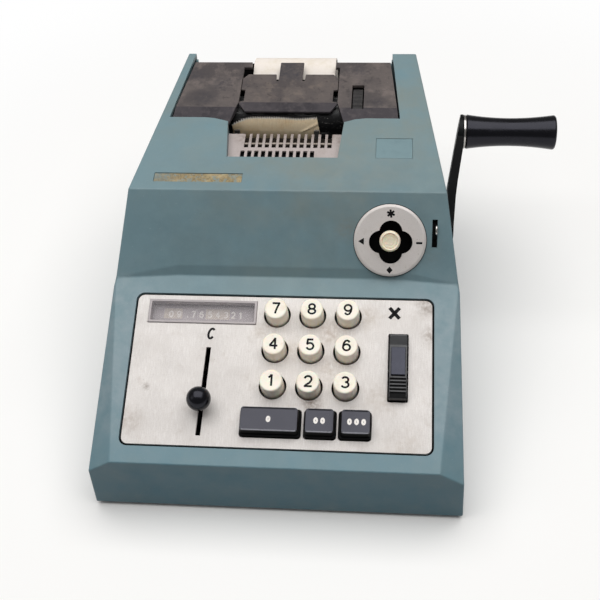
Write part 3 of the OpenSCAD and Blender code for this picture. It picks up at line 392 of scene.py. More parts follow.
def finish(key, name, colour, rough, metal=0.0, stains=(), bumps=(), spots=(), spread=0.08, gloss=0.5,
           gloss_tint="#FFFFFF", **sockets):
    """Makes a finish and keeps it by its key: ground colour, then stains (grain mm, low, high, colour,
    strength, stretch) over it, spots of dirt (place, reach mm, colour, strength), and bumps (grain mm,
    depth mm, stretch). A stretch is the grain's length in each of the machine's directions, and the spread
    is how far the roughness varies."""
    material = bpy.data.materials.new(name)
    material.use_nodes = True
    tree = material.node_tree
    shader = tree.nodes["Principled BSDF"]
    where = add(tree, "TexCoord").outputs["Object"]

    def grain(size, stretch, seed, detail=4.0):
        long = stretch or (1.0, 1.0, 1.0)
        at = add(tree, "Mapping", {
            "Vector": where, "Location": (seed * 0.37, seed * 0.71, seed * 0.13),
            "Rotation": (math.radians(-DECK_SLOPE) if stretch else 0.0, 0.0, 0.0),
            "Scale": tuple(1.0 / (size * MM * s) for s in long)})
        return add(tree, "TexNoise", {"Vector": at.outputs["Vector"], "Scale": 1.0, "Detail": detail,
                                      "Roughness": 0.6}).outputs["Fac"]

    ground = colour if isinstance(colour, tuple) else linear(colour)
    last = None
    for k, stain in enumerate(stains):
        size, low, high, tint, strength = stain[:5]
        stretch = stain[5] if len(stain) > 5 else None
        cover = add(tree, "MapRange", {
            "Value": grain(size, stretch, k + 1), "From Min": low, "From Max": high, "To Min": 0.0,
            "To Max": strength}, interpolation_type="SMOOTHSTEP")
        last = add(tree, "Mix", {0: cover.outputs["Result"], 6: last or ground, 7: linear(tint)},
                   data_type="RGBA").outputs[2]
    for k, (place, reach, tint, strength) in enumerate(spots):
        far = add(tree, "VectorMath", {0: where, 1: tuple(ROW @ place)},
                  operation="DISTANCE").outputs["Value"]
        near = add(tree, "MapRange", {"Value": far, "From Min": 0.0, "From Max": reach * MM, "To Min": 1.0,
                                      "To Max": 0.0}, interpolation_type="SMOOTHSTEP")
        patch = add(tree, "MapRange", {
            "Value": grain(reach / 5.0, None, k + 41), "From Min": 0.30, "From Max": 0.66, "To Min": 0.0,
            "To Max": strength})
        cover = add(tree, "Math", {0: near.outputs["Result"], 1: patch.outputs["Result"]},
                    operation="MULTIPLY")
        last = add(tree, "Mix", {0: cover.outputs[0], 6: last or ground, 7: linear(tint)},
                   data_type="RGBA").outputs[2]
    if last:
        tree.links.new(last, shader.inputs["Base Color"])
    else:
        shader.inputs["Base Color"].default_value = ground
    matt = add(tree, "MapRange", {
        "Value": grain(14.0, None, 9), "From Min": 0.3, "From Max": 0.7, "To Min": max(0.02, rough - spread),
        "To Max": rough + spread})
    tree.links.new(matt.outputs["Result"], shader.inputs["Roughness"])
    shader.inputs["Metallic"].default_value = metal
    push = None
    for k, bump in enumerate(bumps):
        size, depth = bump[:2]
        stretch = bump[2] if len(bump) > 2 else None
        inputs = {"Height": grain(size, stretch, k + 21, 2.0), "Distance": depth * MM, "Strength": 1.0}
        if push:
            inputs["Normal"] = push
        push = add(tree, "Bump", inputs).outputs["Normal"]
    if push:
        tree.links.new(push, shader.inputs["Normal"])
    sockets.update(Specular_IOR_Level=gloss, Specular_Tint=linear(gloss_tint))
    for socket, value in sockets.items():
        shader.inputs[socket.replace("_", " ")].default_value = value
    FINISH[key] = material


def patches(plane, height, rows):
    """Spots of dirt on a plane, from rows of place, reach, colour and strength."""
    return [(plane @ Vector((x, y, height)), reach, tint, strength) for x, y, reach, tint, strength in rows]


# Plain finishes: key, name, colour, roughness, metal, one stain, one bump and the gloss
PLAIN = (
    # Front edges of the black keys: the same plastic in grey, a painted highlight along the edge
    ("worn", "Black plastic, painted edge highlight", "#707077", 0.4, 0, (1.5, 0.45, 0.75, "#4C4C52", 0.7), (0.8, 0.01), 0.5),
    # Figures filled with paint, a little uneven
    ("ink", "Dark figure paint", "#0D0C0E", 0.6, 0.0, (1.0, 0.5, 0.75, "#262326", 0.5), None, 0.15),
    ("white", "White figure paint", "#EFEAE4", 0.5, 0.0, (0.9, 0.5, 0.72, "#C9BFB6", 0.55), None, 0.5),
    # Selector cup and linings: dull black, also used for sheets of painted shade; a brown painted shade under
    # the comb's notches
    ("cup", "Dull black lining and painted shade", "#070708", 0.7, 0.0, (3, 0.5, 0.75, "#101012", 0.6), (0.8, 0.02), 0.15),
    ("shade", "Brown painted shade", "#1E1915", 0.8, 0.0, (2, 0.45, 0.72, "#3A3027", 0.7), (0.8, 0.02), 0.15),
    # Thumbwheel: greyed moulded rubber
    ("wheel", "Greyed rubber", "#2E2C2C", 0.6, 0.0, (2.5, 0.5, 0.76, "#4D4946", 0.6), (0.7, 0.02), 0.25),
    # Feet: matt black rubber. Screws, register wheels and spools: dulled metal. Ribbon: dark with ink
    ("foot", "Foot rubber", "#1A1918", 0.8, 0.0, (3, 0.5, 0.76, "#353330", 0.6), (0.9, 0.05), 0.2),
    ("screw", "Zinc screws", "#AFACA6", 0.32, 1.0, (2, 0.5, 0.8, "#827A70", 0.6), (1.0, 0.02), 0.5),
    ("gear", "Gear brass", "#A8894F", 0.38, 0.8, (5, 0.5, 0.8, "#755E37", 0.6), (1.0, 0.02), 0.5),
    ("ribbon", "Inked ribbon", "#121015", 0.75, 0.0, (0.5, 0.4, 0.7, "#1E1C23", 0.6), (0.4, 0.03), 0.2),
    ("tin", "Black tin", "#1E1F21", 0.42, 0.0, (3, 0.5, 0.8, "#393733", 0.5), (1.2, 0.02), 0.5),
    # Position scale behind the lens: mauve-grey card with beige fields
    ("card", "Grey scale card", "#AAA2A3", 0.7, 0.0, (4, 0.45, 0.75, "#8D8689", 0.6), (0.5, 0.01), 0.5),
    ("cream", "Beige scale field", "#C9BDB0", 0.7, 0.0, (4, 0.45, 0.75, "#AFA296", 0.6), (0.5, 0.01), 0.5),
)
COLOUR = {"subtype": "COLOR", "size": 4, "min": 0.0, "max": 1.0}


class AddingMachineColours(bpy.types.PropertyGroup):
    """Colours that can be changed."""
    enamel: bpy.props.FloatVectorProperty(name="Enamel", description="Blue-grey of the casing",
                                          default=linear("#6F8990"), **COLOUR)
    panel: bpy.props.FloatVectorProperty(name="Panel", description="Satin metal of the keyboard panel",
                                         default=linear("#D3CECA"), **COLOUR)
    ivory: bpy.props.FloatVectorProperty(name="Ivory", description="Plastic of the digit keys",
                                         default=linear("#F4ECDE"), **COLOUR)
    black: bpy.props.FloatVectorProperty(name="Black", description="Plastic of the zero keys, knob and grip",
                                         default=linear("#09090B"), **COLOUR)
    cover: bpy.props.FloatVectorProperty(name="Cover", description="Lacquer of the top cover",
                                         default=linear("#5E5653"), **COLOUR)


class AddingMachineSizes(bpy.types.PropertyGroup):
    """Sizes of the dressing that can be changed."""
    casing_round: bpy.props.FloatProperty(
        name="Casing edges", description="Rounding of the casing's edges, mm", default=1.7, min=0.3, max=3.0)
    cut_round: bpy.props.FloatProperty(name="Cut edges", description="Rounding of the openings' edges, mm",
                                       default=0.5, min=0.1, max=0.9)
    figure_size: bpy.props.FloatProperty(
        name="Key figures", description="Height of the figures on the keys, mm", default=7.4, min=4.0,
        max=9.0)
    tooth_pitch: bpy.props.FloatProperty(name="Torn edge", description="Pitch of the paper's torn teeth, mm",
                                         default=1.6, min=1.0, max=4.0)


class ADDINGMACHINE_OT_finishes(bpy.types.Operator):
    """Makes every finish of the machine"""
    bl_idname = "adding_machine.finishes"
    bl_label = "Finishes"

    def execute(self, context):
        c = context.scene.adding_machine_colours
        for key, name, colour, rough, metal, stain, bump, gloss in PLAIN:
            finish(key, name, colour, rough, metal, (stain,), (bump,) if bump else (), gloss=gloss)
        # Casing: stoved enamel, satin blue-grey, slightly cloudy, with pale dust, painted shade and sheen,
        # and a soft orange peel
        dust_and_painted_light = patches(TOP, 0.0, (
            (10.0, 20.0, 130.0, "#7A827C", 0.75), (85.0, 75.0, 120.0, "#7C847E", 0.75),
            (-85.0, 90.0, 90.0, "#78837F", 0.60), (40.0, 20.0, 50.0, "#8A8C82", 0.35)))
        # Painted shade round the selector dial, and two smaller spots near it
        dust_and_painted_light += patches(RISER, 0.0, ((64.2, 26.4, 33.0, "#4E5452", 0.80), (38.0, 33.0, 11.0, "#7E7263", 0.45),
                                     (88.0, 20.0, 14.0, "#6E7672", 0.45)))
        # Painted shade: darker, bluer patches across the riser
        dust_and_painted_light += patches(RISER, 0.0, [(x, 30.0, 80.0, "#587078", 0.45) for x in (-60.0, 20.0, 85.0)])
        # Painted sheen: pale patches along both sides of the deck
        dust_and_painted_light += patches(DECK, 0.0,
                        [(x, y, 50.0, "#95A0A6", 0.55) for x in (-98.0, 98.0) for y in (40.0, 90.0)])
        # Painted shade: bluer patches low on the front skirt
        dust_and_painted_light += patches(Matrix.Identity(4), 18.0,
                        [(x, FRONT_Y, 75.0, "#4A7D8E", 0.45) for x in (-85.0, -30.0, 30.0, 85.0)])
        finish("enamel", "Stoved enamel", tuple(c.enamel), 0.42,
               stains=((60, 0.35, 0.70, "#6C858D", 0.50), (18, 0.45, 0.75, "#798E92", 0.40),
                       (7, 0.50, 0.78, "#6A838A", 0.40), (0.9, 0.66, 0.72, "#A3AEAE", 0.50),
                       (1.2, 0.68, 0.74, "#43545A", 0.50)), spots=dust_and_painted_light, bumps=((1.1, 0.03), (9.0, 0.05)),
               gloss=0.36)
        # Keyboard panel: pale satin aluminium with a fine upright grain, specks, and brown dirt by the keys
        dirt = patches(DECK, -0.5, (
            (30.0, 84.0, 14.0, "#9A8774", 0.55), (52.0, 95.0, 12.0, "#A39380", 0.45),
            (21.0, 39.5, 9.0, "#6B5340", 0.85), (30.0, 61.0, 13.0, "#A0907F", 0.50),
            (8.0, 72.0, 11.0, "#A69785", 0.45), (89.0, 105.0, 13.0, "#6E5C4C", 0.80),
            (90.5, 84.0, 9.0, "#7C6A5A", 0.70), (-87.0, 26.0, 14.0, "#9A8A7C", 0.45),
            (60.0, 44.0, 16.0, "#A89A8B", 0.40), (-79.0, 47.0, 3.5, "#6B5C50", 0.80),
            (-12.0, 84.0, 10.0, "#A69785", 0.45), (75.0, 14.0, 20.0, "#A89A8B", 0.40)))
        finish("panel", "Satin aluminium panel", tuple(c.panel), 0.52, 0.18,
               stains=((0.55, 0.35, 0.68, "#BDB6B1", 0.50), (0.42, 0.42, 0.72, "#E9E6E3", 0.45, (1, 16, 16)),
                       (42, 0.42, 0.72, "#C6C0BB", 0.50), (7, 0.55, 0.78, "#B9B0A8", 0.45),
                       (0.9, 0.68, 0.74, "#7C7066", 0.65)), bumps=((0.45, 0.014), (0.4, 0.01, (1, 14, 14))),
               spots=dirt, gloss=0.35)
        # Digit keys: warm ivory plastic, a little yellower in patches, with a few dark specks
        finish("ivory", "Ivory key plastic", tuple(c.ivory), 0.38,
               stains=((7, 0.45, 0.78, "#E2D5BC", 0.60), (2.2, 0.60, 0.80, "#D8C9AE", 0.35),
                       (0.6, 0.69, 0.74, "#8A7E6E", 0.5)), bumps=((1.8, 0.01),), Subsurface_Weight=0.25,
               Subsurface_Scale=0.003)
        # Selector button: older ivory, browned round its ring
        finish("button", "Yellowed ivory", "#EFE3CC", 0.34,
               stains=((3, 0.46, 0.74, "#DFCBA6", 0.55), (0.7, 0.62, 0.72, "#9A7C52", 0.50)),
               bumps=((1.5, 0.03),), Subsurface_Weight=0.2, Subsurface_Scale=0.003)
        # Black keys: moulded black with dulled patches and hair scratches
        finish("jet", "Moulded black plastic", tuple(c.black), 0.24,
               stains=((6, 0.48, 0.78, "#131316", 0.6), (0.3, 0.68, 0.74, "#4A4A50", 0.35, (1, 9, 3)),
                       (0.8, 0.71, 0.75, "#5C5850", 0.4)), bumps=((2.5, 0.012),), gloss=0.60,
               gloss_tint="#E9E9FA")
        # Their sides, fronts and lip: a darker, duller copy with hardly any sheen, as painted shade
        finish("jet_painted_shade", "Dull black plastic, painted shade", "#060607", 0.45,
               stains=((5, 0.48, 0.78, "#0D0D0F", 0.6), (0.7, 0.70, 0.75, "#3E3B36", 0.4)),
               bumps=((1.5, 0.012),), gloss=0.06)
        # Knob and grip: polished black, faintly blue, dulled by handling
        finish("grip", "Polished black grip", tuple(c.black), 0.24,
               stains=((9, 0.48, 0.78, "#17171C", 0.6), (0.35, 0.69, 0.74, "#3C3C42", 0.3, (8, 1, 1))),
               bumps=((3.0, 0.01), (0.8, 0.004)), spread=0.05, gloss=0.36, gloss_tint="#E8E8FA")
        # Multiply key: charcoal plastic, duller than the zero keys
        finish("charcoal", "Charcoal plastic", "#17171A", 0.34,
               stains=((5, 0.45, 0.75, "#29292D", 0.6), (0.6, 0.69, 0.74, "#5A585C", 0.4)),
               bumps=((1.2, 0.012),), gloss=0.60)
        # Its raised middle: smoother, and lighter and a little bluer as a painted sheen
        finish("slate_sheen", "Slate plastic, painted sheen", "#1C1D25", 0.30,
               stains=((4, 0.45, 0.75, "#2B2C36", 0.6), (0.6, 0.69, 0.74, "#5A585C", 0.4)),
               bumps=((1.2, 0.012),), gloss=0.54, gloss_tint="#E4E6FA")
        # Selector ring: satin nickel, brighter at its rim, with brown pits
        finish("nickel", "Satin nickel", "#D3CDC9", 0.42, 0.15,
               stains=((0.45, 0.35, 0.68, "#C3BBB6", 0.45), (16, 0.42, 0.72, "#CBC3BD", 0.55),
                       (5, 0.58, 0.78, "#B9AFA6", 0.4), (0.9, 0.66, 0.72, "#7A6C5E", 0.65)),
               bumps=((0.5, 0.014),))
        # Release tab, crank collar: chrome with a light haze
        finish("chrome", "Hazed chrome", "#C2BEBA", 0.24, 1.0,
               stains=((4, 0.5, 0.8, "#A39D96", 0.5), (0.8, 0.68, 0.74, "#6E6258", 0.5)),
               bumps=((6.0, 0.01),), spread=0.08)
        # Comb plate: mauve-grey satin zinc, stained brown along its rear edge
        brown = patches(TOP, -6.0, [(x, 57.0, 14.0, "#6F5F50", 0.7) for x in (-30, -18, -6, 6, 18, 28)])
        finish("zinc", "Satin zinc", "#AEA3A0", 0.48, 0.15,
               stains=((10, 0.45, 0.75, "#A0948E", 0.6), (3, 0.55, 0.78, "#94877D", 0.45),
                       (1.2, 0.64, 0.72, "#7A6A5B", 0.6), (0.5, 0.4, 0.7, "#C4BBB6", 0.4)),
               bumps=((0.6, 0.014),), spots=brown)
        # Ledge in the comb's notches: the same zinc, browned
        finish("ledge", "Stained zinc", "#A3988E", 0.5, 0.15,
               stains=((3, 0.45, 0.72, "#6F6152", 0.7), (0.8, 0.6, 0.72, "#54473B", 0.5)),
               bumps=((0.6, 0.02),))
        # Torn strip: aged cream paper, browner in clouds, with short fibres
        finish("strip", "Aged paper", "#FFE8C2", 0.85,
               stains=((14, 0.42, 0.72, "#EDCB98", 0.6), (4, 0.5, 0.75, "#F3D6A8", 0.5),
                       (0.4, 0.45, 0.75, "#FAF0DA", 0.5, (4, 1, 1)), (1.2, 0.66, 0.74, "#A58C68", 0.5)),
               bumps=((0.6, 0.03), (7, 0.15)))
        # Paper roll: warm white
        finish("roll", "White paper", "#E8DFD6", 0.85,
               stains=((12, 0.45, 0.75, "#D6CAB4", 0.6), (3, 0.55, 0.78, "#CDBFA6", 0.35),
                       (0.45, 0.45, 0.75, "#EDE9E0", 0.5, (4, 1, 1))), bumps=((0.6, 0.02),))
        # Platen: black rubber with chalky scratches along it
        finish("platen", "Platen rubber", "#0E0E0F", 0.42,
               stains=((1.8, 0.56, 0.70, "#8A8988", 0.7, (7, 1, 1)),
                       (0.7, 0.62, 0.72, "#BDBAB6", 0.6, (4, 1, 1))), bumps=((1.0, 0.03),), gloss=0.35)
        # Top cover: dusty brown-grey lacquer, cloudy, with dark drips and pale specks
        places = ((-62.0, 88.0, 14.0), (-52.0, 103.0, 12.0), (-70.0, 112.0, 12.0), (40.0, 118.0, 12.0),
                  (55.0, 84.0, 9.0))
        drips = patches(TOP, -0.5, [place + ("#3B383C", 0.9) for place in places])
        finish("lacquer", "Dusty brown lacquer", tuple(c.cover), 0.50,
               stains=((30, 0.40, 0.62, "#403B3C", 0.75), (11, 0.48, 0.70, "#776C67", 0.60),
                       (4, 0.55, 0.72, "#3A3536", 0.65), (2.0, 0.66, 0.74, "#2F2A2A", 0.5),
                       (0.8, 0.67, 0.72, "#A79B92", 0.55)), spots=drips, bumps=((0.9, 0.025), (6, 0.04)),
               gloss=0.35)
        # Flap: the same lacquer, handled more and stained at its tongue
        finish("flap", "Dark brown lacquer", "#5C5451", 0.52,
               stains=((20, 0.42, 0.64, "#423D3E", 0.70), (8, 0.48, 0.70, "#72675F", 0.60),
                       (3, 0.57, 0.73, "#2E2A2B", 0.65), (0.8, 0.66, 0.72, "#8F847B", 0.55)),
               spots=patches(
            TOP, -1.0, [(x, y, 11.0, "#36353B", 0.95) for x in (-10.0, -1.0) for y in (113.0, 122.0)]),
               bumps=((0.9, 0.03), (6, 0.04)), gloss=0.3)
        # Bent front bands of cover and flap: the same lacquer, darker and cooler as a painted shade, with
        # less dust on it
        finish("band_painted_shade", "Lacquer band, painted shade", "#454144", 0.60,
               stains=((14, 0.42, 0.66, "#343135", 0.7), (5, 0.48, 0.70, "#575152", 0.6),
                       (0.8, 0.66, 0.72, "#857B74", 0.5)), bumps=((0.9, 0.025), (6, 0.04)), gloss=0.12)
        # Name plate: brass with its clear coat flaking off in small patches
        finish("brass", "Flaked brass", "#92835F", 0.5, 0.15,
               stains=((1.1, 0.47, 0.55, "#76664A", 0.8), (2.4, 0.50, 0.57, "#7B8885", 0.85),
                       (9, 0.46, 0.66, "#B5A27C", 0.7), (1.4, 0.60, 0.70, "#5E4E36", 0.6)),
               bumps=((0.7, 0.05),), spots=patches(TOP, -0.5, [(-80.0, 11.0, 14.0, "#6F7F80", 0.9)]))
        # Square plate: the casing's enamel, a little greyer and less dusty
        finish("badge", "Painted plate", "#728A8F", 0.42,
               stains=((9, 0.45, 0.75, "#677E84", 0.6), (0.9, 0.68, 0.74, "#A5AFAF", 0.45)),
               bumps=((1.0, 0.025),), gloss=0.4)
        # Crank arm: dark green-grey paint, rubbed paler in spots
        finish("arm", "Dark arm paint", "#070809", 0.40,
               stains=((12, 0.45, 0.75, "#171B1C", 0.6), (0.8, 0.68, 0.74, "#4A504F", 0.45)),
               bumps=((1.2, 0.03),), gloss=0.14)
        # Inner steel: grey, oily, with rust-brown bloom
        finish("steel", "Oiled steel", "#7F7D7A", 0.42, 0.7,
               stains=((8, 0.5, 0.8, "#5C544D", 0.6), (1.5, 0.64, 0.74, "#4F3D2F", 0.5)),
               bumps=((1.0, 0.02),))
        # Rods and shafts: brighter, ground along their length
        finish("bright", "Ground steel rod", "#9A9895", 0.32, 0.9,
               stains=((6, 0.5, 0.8, "#77706A", 0.55), (0.5, 0.4, 0.7, "#ABA9A6", 0.4, (12, 1, 1))),
               bumps=((0.8, 0.012),))
        # Base plate: black japan, dusty and chipped
        finish("base", "Black japanned steel", "#26292B", 0.5,
               stains=((25, 0.42, 0.75, "#1D1F21", 0.6), (4, 0.55, 0.78, "#3A3C3C", 0.5),
                       (1.2, 0.66, 0.74, "#625E58", 0.5)), bumps=((1.4, 0.04),))
        # Lens: clear acrylic with a faint mauve haze
        finish("lens", "Hazy acrylic", "#DDD6DA", 0.12,
               stains=((9, 0.45, 0.8, "#CFC7CB", 0.5), (0.5, 0.66, 0.73, "#F4F1F2", 0.6)), spread=0.04,
               Alpha=0.14)
        # The lens's ground rim: frosted
        finish("rim", "Frosted acrylic rim", "#A79F9F", 0.30,
               stains=((3, 0.45, 0.75, "#A39B9F", 0.6), (0.6, 0.62, 0.72, "#E3DEE0", 0.5)),
               bumps=((0.6, 0.02),))
        return {"FINISHED"}


def meet(p, a, q, b):
    """Where two lines of the side view cross, each given by a point and a slope in degrees."""
    a, b = math.radians(a), math.radians(b)
    t = ((q[0] - p[0]) * math.sin(b) - (q[1] - p[1]) * math.cos(b)) / math.sin(b - a)
    return (p[0] + t * math.cos(a), p[1] + t * math.sin(a))


def side_view(g, low):
    """The casing's side view moved inwards by g, as (depth, height)."""
    def inward(y, z, slope):
        return (y + g * math.sin(math.radians(slope)), z - g * math.cos(math.radians(slope)))
    d = inward(FRONT_Y, DECK_Z, DECK_SLOPE)
    r = inward(RISER_Y, RISER_Z, RISER_SLOPE)
    t = inward(TOP_Y, TOP_Z, TOP_SLOPE)
    f, b = (FRONT_Y + g, 0.0), (REAR_Y - g, 0.0)
    return [(FRONT_Y + g, low), meet(f, 90, d, DECK_SLOPE), meet(d, DECK_SLOPE, r, RISER_SLOPE),
            meet(r, RISER_SLOPE, t, TOP_SLOPE), meet(t, TOP_SLOPE, b, 90), (REAR_Y - g, low)]


def trim(point, normal, g=0.0, fill=True, clear=True):
    """Cuts the selected part of the piece being edited along a plane moved inwards by g."""
    n = Vector(normal).normalized()
    bpy.ops.mesh.bisect(plane_co=Vector(point) - g * n, plane_no=n, use_fill=fill, clear_outer=clear,
                        threshold=0.0005)


def casing_form(name, g, low):
    """The casing's closed form: its side view raised across, trimmed by the sides and the deck's bevels."""
    obj = move(slab(name, side_view(g, low), -150.0, 150.0), SIDE)
    edit(obj)
    for side in (1, -1):
        bpy.ops.mesh.select_all(action="SELECT")
        trim((side * HALF_FOOT, 0.0, LOW_Z), (side, 0.0, SIDE_LEAN), g)
        bpy.ops.mesh.select_all(action="SELECT")
        trim((side * HALF_RISER, RISER_Y, RISER_Z), (side, 0.1307, 0.0937), g)
    split = side_view(g, low)[2][0]
    bpy.ops.mesh.select_all(action="SELECT")
    trim((0.0, split, 0.0), (0.0, 1.0, 0.0), 0.0, False, False)
    for side in (1, -1):
        low_end = DECK_Z - BEVEL_DROP
        a = Vector((side * HALF_DECK, FRONT_Y, DECK_Z))
        b = Vector((side * (HALF_FOOT - (low_end - LOW_Z) * SIDE_LEAN), FRONT_Y, low_end))
        c = Vector((side * HALF_RISER, RISER_Y, RISER_Z))
        n = (b - a).cross(c - a) * side
        pick(obj, "FACE", lambda p, _: p.y < split)
        trim(a, n, g)
    bpy.ops.mesh.select_all(action="SELECT")
    bpy.ops.mesh.remove_doubles(threshold=0.01)
    bpy.ops.mesh.dissolve_limited(angle_limit=math.radians(0.5))
    bpy.ops.mesh.normals_make_consistent(inside=False)
    bpy.ops.object.mode_set(mode="OBJECT")
    return obj


WINDOW = [(-40.0, 30.0), (30.3, 30.0), (32.9, 63.9), (39.9, 66.7), (47.0, 67.8), (69.0, 67.8), (62.4, 144.5),
          (-73.0, 144.5), (-82.4, 67.8), (-59.0, 67.8), (-52.2, 67.0), (-43.1, 64.0)]


class ADDINGMACHINE_OT_casing(bpy.types.Operator):
    """Casing: closed form with rounded edges, hollowed, with its openings and recesses cut"""
    bl_idname = "adding_machine.casing"
    bl_label = "Casing"

    def execute(self, context):
        sizes = context.scene.adding_machine_sizes
        shell = casing_form("casing", 0.0, LOW_Z)
        # Foot of the riser, cut back to a long facet that runs out at both ends
        a = math.radians(RISER_SLOPE - DECK_SLOPE)
        low, high, end = 2.7, 8.7, 66.9
        fy, fz = high * math.cos(a), high * math.sin(a)
        corners = [(-1.0, 0.0), (low, 0.0), (fy, fz), (fy - 1.0, fz + 2.0), (-1.0, fz + 2.0)]
        facet = move(slab("facet", corners, -HALF_FOOT, HALF_FOOT), SIDE)
        edit(facet)
        for side in (1, -1):
            p0 = Vector((-side * HALF_RISER, 0, 0))
            p1, p2 = Vector((-side * end, low, 0)), Vector((-side * end, fy, fz))
            n = (p1 - p0).cross(p2 - p0)
            n = n if n.x * side > 0 else -n
            bpy.ops.mesh.select_all(action="SELECT")
            trim(p0, -n)
        bpy.ops.object.mode_set(mode="OBJECT")
        carve(shell, move(facet, DECK @ shift(0.0, DECK_LENGTH, 0.0)))
        tidy(shell, 0.01, 0.5)
        soften(shell, sizes.casing_round, 3, 9.0)
        carve(shell, casing_form("hollow", WALL, LOW_Z - 6.0))
        cuts = [move(slab("cut", rounded(PANEL_X, PANEL_Y, 183.4, 97.5, 5.0), -4.0, 6.0), DECK),
                move(slab("cut", circle(0, 0, 19.4), -6.0, 5.0), DIAL),
                move(box("cut", 89.6, 92.8, 22.4, 39.4, -6.0, 4.0), RISER),
                move(slab("cut", WINDOW, -5.0, 6.0), TOP),
                move(box("cut", -83.5, -27.9, 6.7, 14.7, -0.8, 4.0), TOP),
                move(box("cut", 54.0, 77.2, 29.9, 48.5, -0.6, 4.0), TOP),
                box("cut", -66.0, 58.0, REAR_Y - 5.0, REAR_Y + 5.0, TOP_Z - 42.0, TOP_Z + 60.0),
                box("cut", -73.2, 62.6, REAR_Y - 5.0, REAR_Y + 5.0, TOP_Z + 1.5, TOP_Z + 60.0),
                move(slab("cut", circle(0, 0, 7.5, 32), 80.0, 125.0), shift(0, SHAFT_Y, SHAFT_Z) @ SIDE)]
        for cut in cuts:
            carve(shell, cut)
        tidy(shell, 0.004, 0.3)
        soften(shell, sizes.cut_round, 2, 55.0)
        # Low walls round the print window
        walls = [move(box("wall", -1.6, 0.0, -1.6, 32.4, -8.5, -1.2),
                      TOP @ shift(-40.0, 30.0, 0) @ turn(5.21, "Z")),
                 move(box("wall", 0.0, 1.6, -1.6, 32.4, -8.5, -1.2),
                      TOP @ shift(30.3, 30.0, 0) @ turn(-4.37, "Z")),
                 move(box("wall", -41.0, 31.3, 28.4, 30.0, -8.5, -1.2), TOP)]
        shell = join("casing", [shell] + walls)
        settle(shell, Matrix.Identity(4), "enamel", "machine", ("upper_casing",), 40.0)
        return {"FINISHED"}


class ADDINGMACHINE_OT_base(bpy.types.Operator):
    """Base plate, rubber feet and base screws, seen from below"""
    bl_idname = "adding_machine.base"
    bl_label = "Base"

    def execute(self, context):
        dressed("base_plate_dressed", "base_plate", 0.5, 2, 50.0, "base", "machine")
        foot = turned("foot", [
            (0.0, 0.0), (5.6, 0.0), (6.9, 0.12), (7.4, 0.6), (7.9, 2.7), (7.6, 3.0), (2.6, 3.0), (2.6, 6.2),
            (2.2, 6.5), (0.0, 6.5)], 48)
        feet = [copy_of(foot, "foot", shift(x, y, 0))
                for x, y in ((84, -108), (-84, -108), (72, 108), (-72, 108))]
        bpy.data.objects.remove(foot, do_unlink=True)
        settle(join("feet", feet), Matrix.Identity(4), "foot", "machine", ("rubber_feet",))
        dressed("screws", "base_screws", 0.2, 2, 40.0, "screw", "machine")
        return {"FINISHED"}


class ADDINGMACHINE_OT_panel(bpy.types.Operator):
    """Keyboard panel with its openings, the black flange under it, the lens and the position scale"""
    bl_idname = "adding_machine.panel"
    bl_label = "Keyboard panel"

    def execute(self, context):
        panel = slab("panel", rounded(PANEL_X, PANEL_Y, 181.0, 95.1, 4.0), -2.3, -0.5)
        flange = slab("flange", rounded(PANEL_X, PANEL_Y, 188.4, 102.5, 5.0), -3.9, -2.42)
        holes = [slab("hole", circle(x, y, 8.2), *THROUGH) for x in KEY_COLUMNS for y in KEY_ROWS]
        holes += [slab("hole", rounded(x, ZERO_Y + ZERO_LENGTH / 2, w + 1.2, ZERO_LENGTH + 1.2, 2.0, 5),
                       *THROUGH) for _, _, x, w, _, _ in ZEROS]
        holes.append(move(box("hole", -1.4, 1.4, -27.5, 27.5, *THROUGH), SLOT))
        holes.append(slab("hole", rounded(ROCKER_X, ROCKER_Y, 11.9, 42.7, 0.8, 4), *THROUGH))
        holes.append(box("hole", -83.0, -15.8, 88.4, 104.0, *THROUGH))
        holes = join("holes", holes)
        carve(flange, copy_of(holes, "flange_holes"))
        carve(panel, holes)
        soften(panel, 0.28, 2, 50.0)
        marks = [figure("mark", "C", 4.8, 7.8, 1.4, -42.8, 82.0, -0.46, 0.16),
                 figure("mark", "x", 8.2, 9.2, 2.2, 68.0, 98.2, -0.46)]
        settle(panel, DECK, "panel", "machine", ("keyboard_panel",))
        settle(flange, DECK, "cup", "machine")
        settle(join("panel_marks", marks), DECK, "ink", "machine")
        # Lens: a clear block with a frosted, chamfered rim that stands just proud of the panel
        lens = box("lens", LENS_X0, LENS_X1, LENS_Y0, LENS_Y1, -4.2, 0.25)
        settle(soften(lens, 0.2, 2, 20.0), DECK, "lens", "machine", ("window_lens",), 25.0)
        rim = slab("lens_rim", rounded(-49.4, 96.2, 67.0, 15.4, 0.7, 4), -4.2, 0.25)
        carve(rim, box("inside", LENS_X0, LENS_X1, LENS_Y0, LENS_Y1, *THROUGH))
        settle(soften(rim, 0.45, 2, 50.0), DECK, "rim", "machine")
        # Painted shade: a black sheet under the panel that darkens the key holes
        mask = box("key_hole_shade_sheet", -15.5, 52.5, 37.5, 107.0, -4.5, -4.1)
        for x in KEY_COLUMNS:
            for y in KEY_ROWS:
                carve(mask, slab("hole", circle(x, y, 7.55), *THROUGH))
        settle(soften(mask, 0.1, 1, 50.0), DECK, "cup", "machine")
        dressed("scale_card", "indicator_scale", 0.15, 1, 50.0, "card", "machine")
        fields = [slab("field", rounded((a + b) / 2, 97.8, b - a, 6.8, 0.4, 2), -8.32, -8.22)
                  for a, b in ((-75, -63.5), (-48.8, -33.8))]
        settle(join("scale_fields", fields), DECK, "cream", "machine")
        row = (("0", -70.5), ("9", -65.6), (".", -60.1), ("7", -56.3), ("6", -51.4), ("5", -46.1),
               ("4", -41.1), ("3", -36.1), ("2", -31.6), ("1", -26.9))
        figures = [figure("scale_figure", t, 2.9, 4.5, 0.8, x, 97.4, -8.12) for t, x in row]
        settle(join("scale_figures", figures), DECK, "white", "machine")
        return {"FINISHED"}


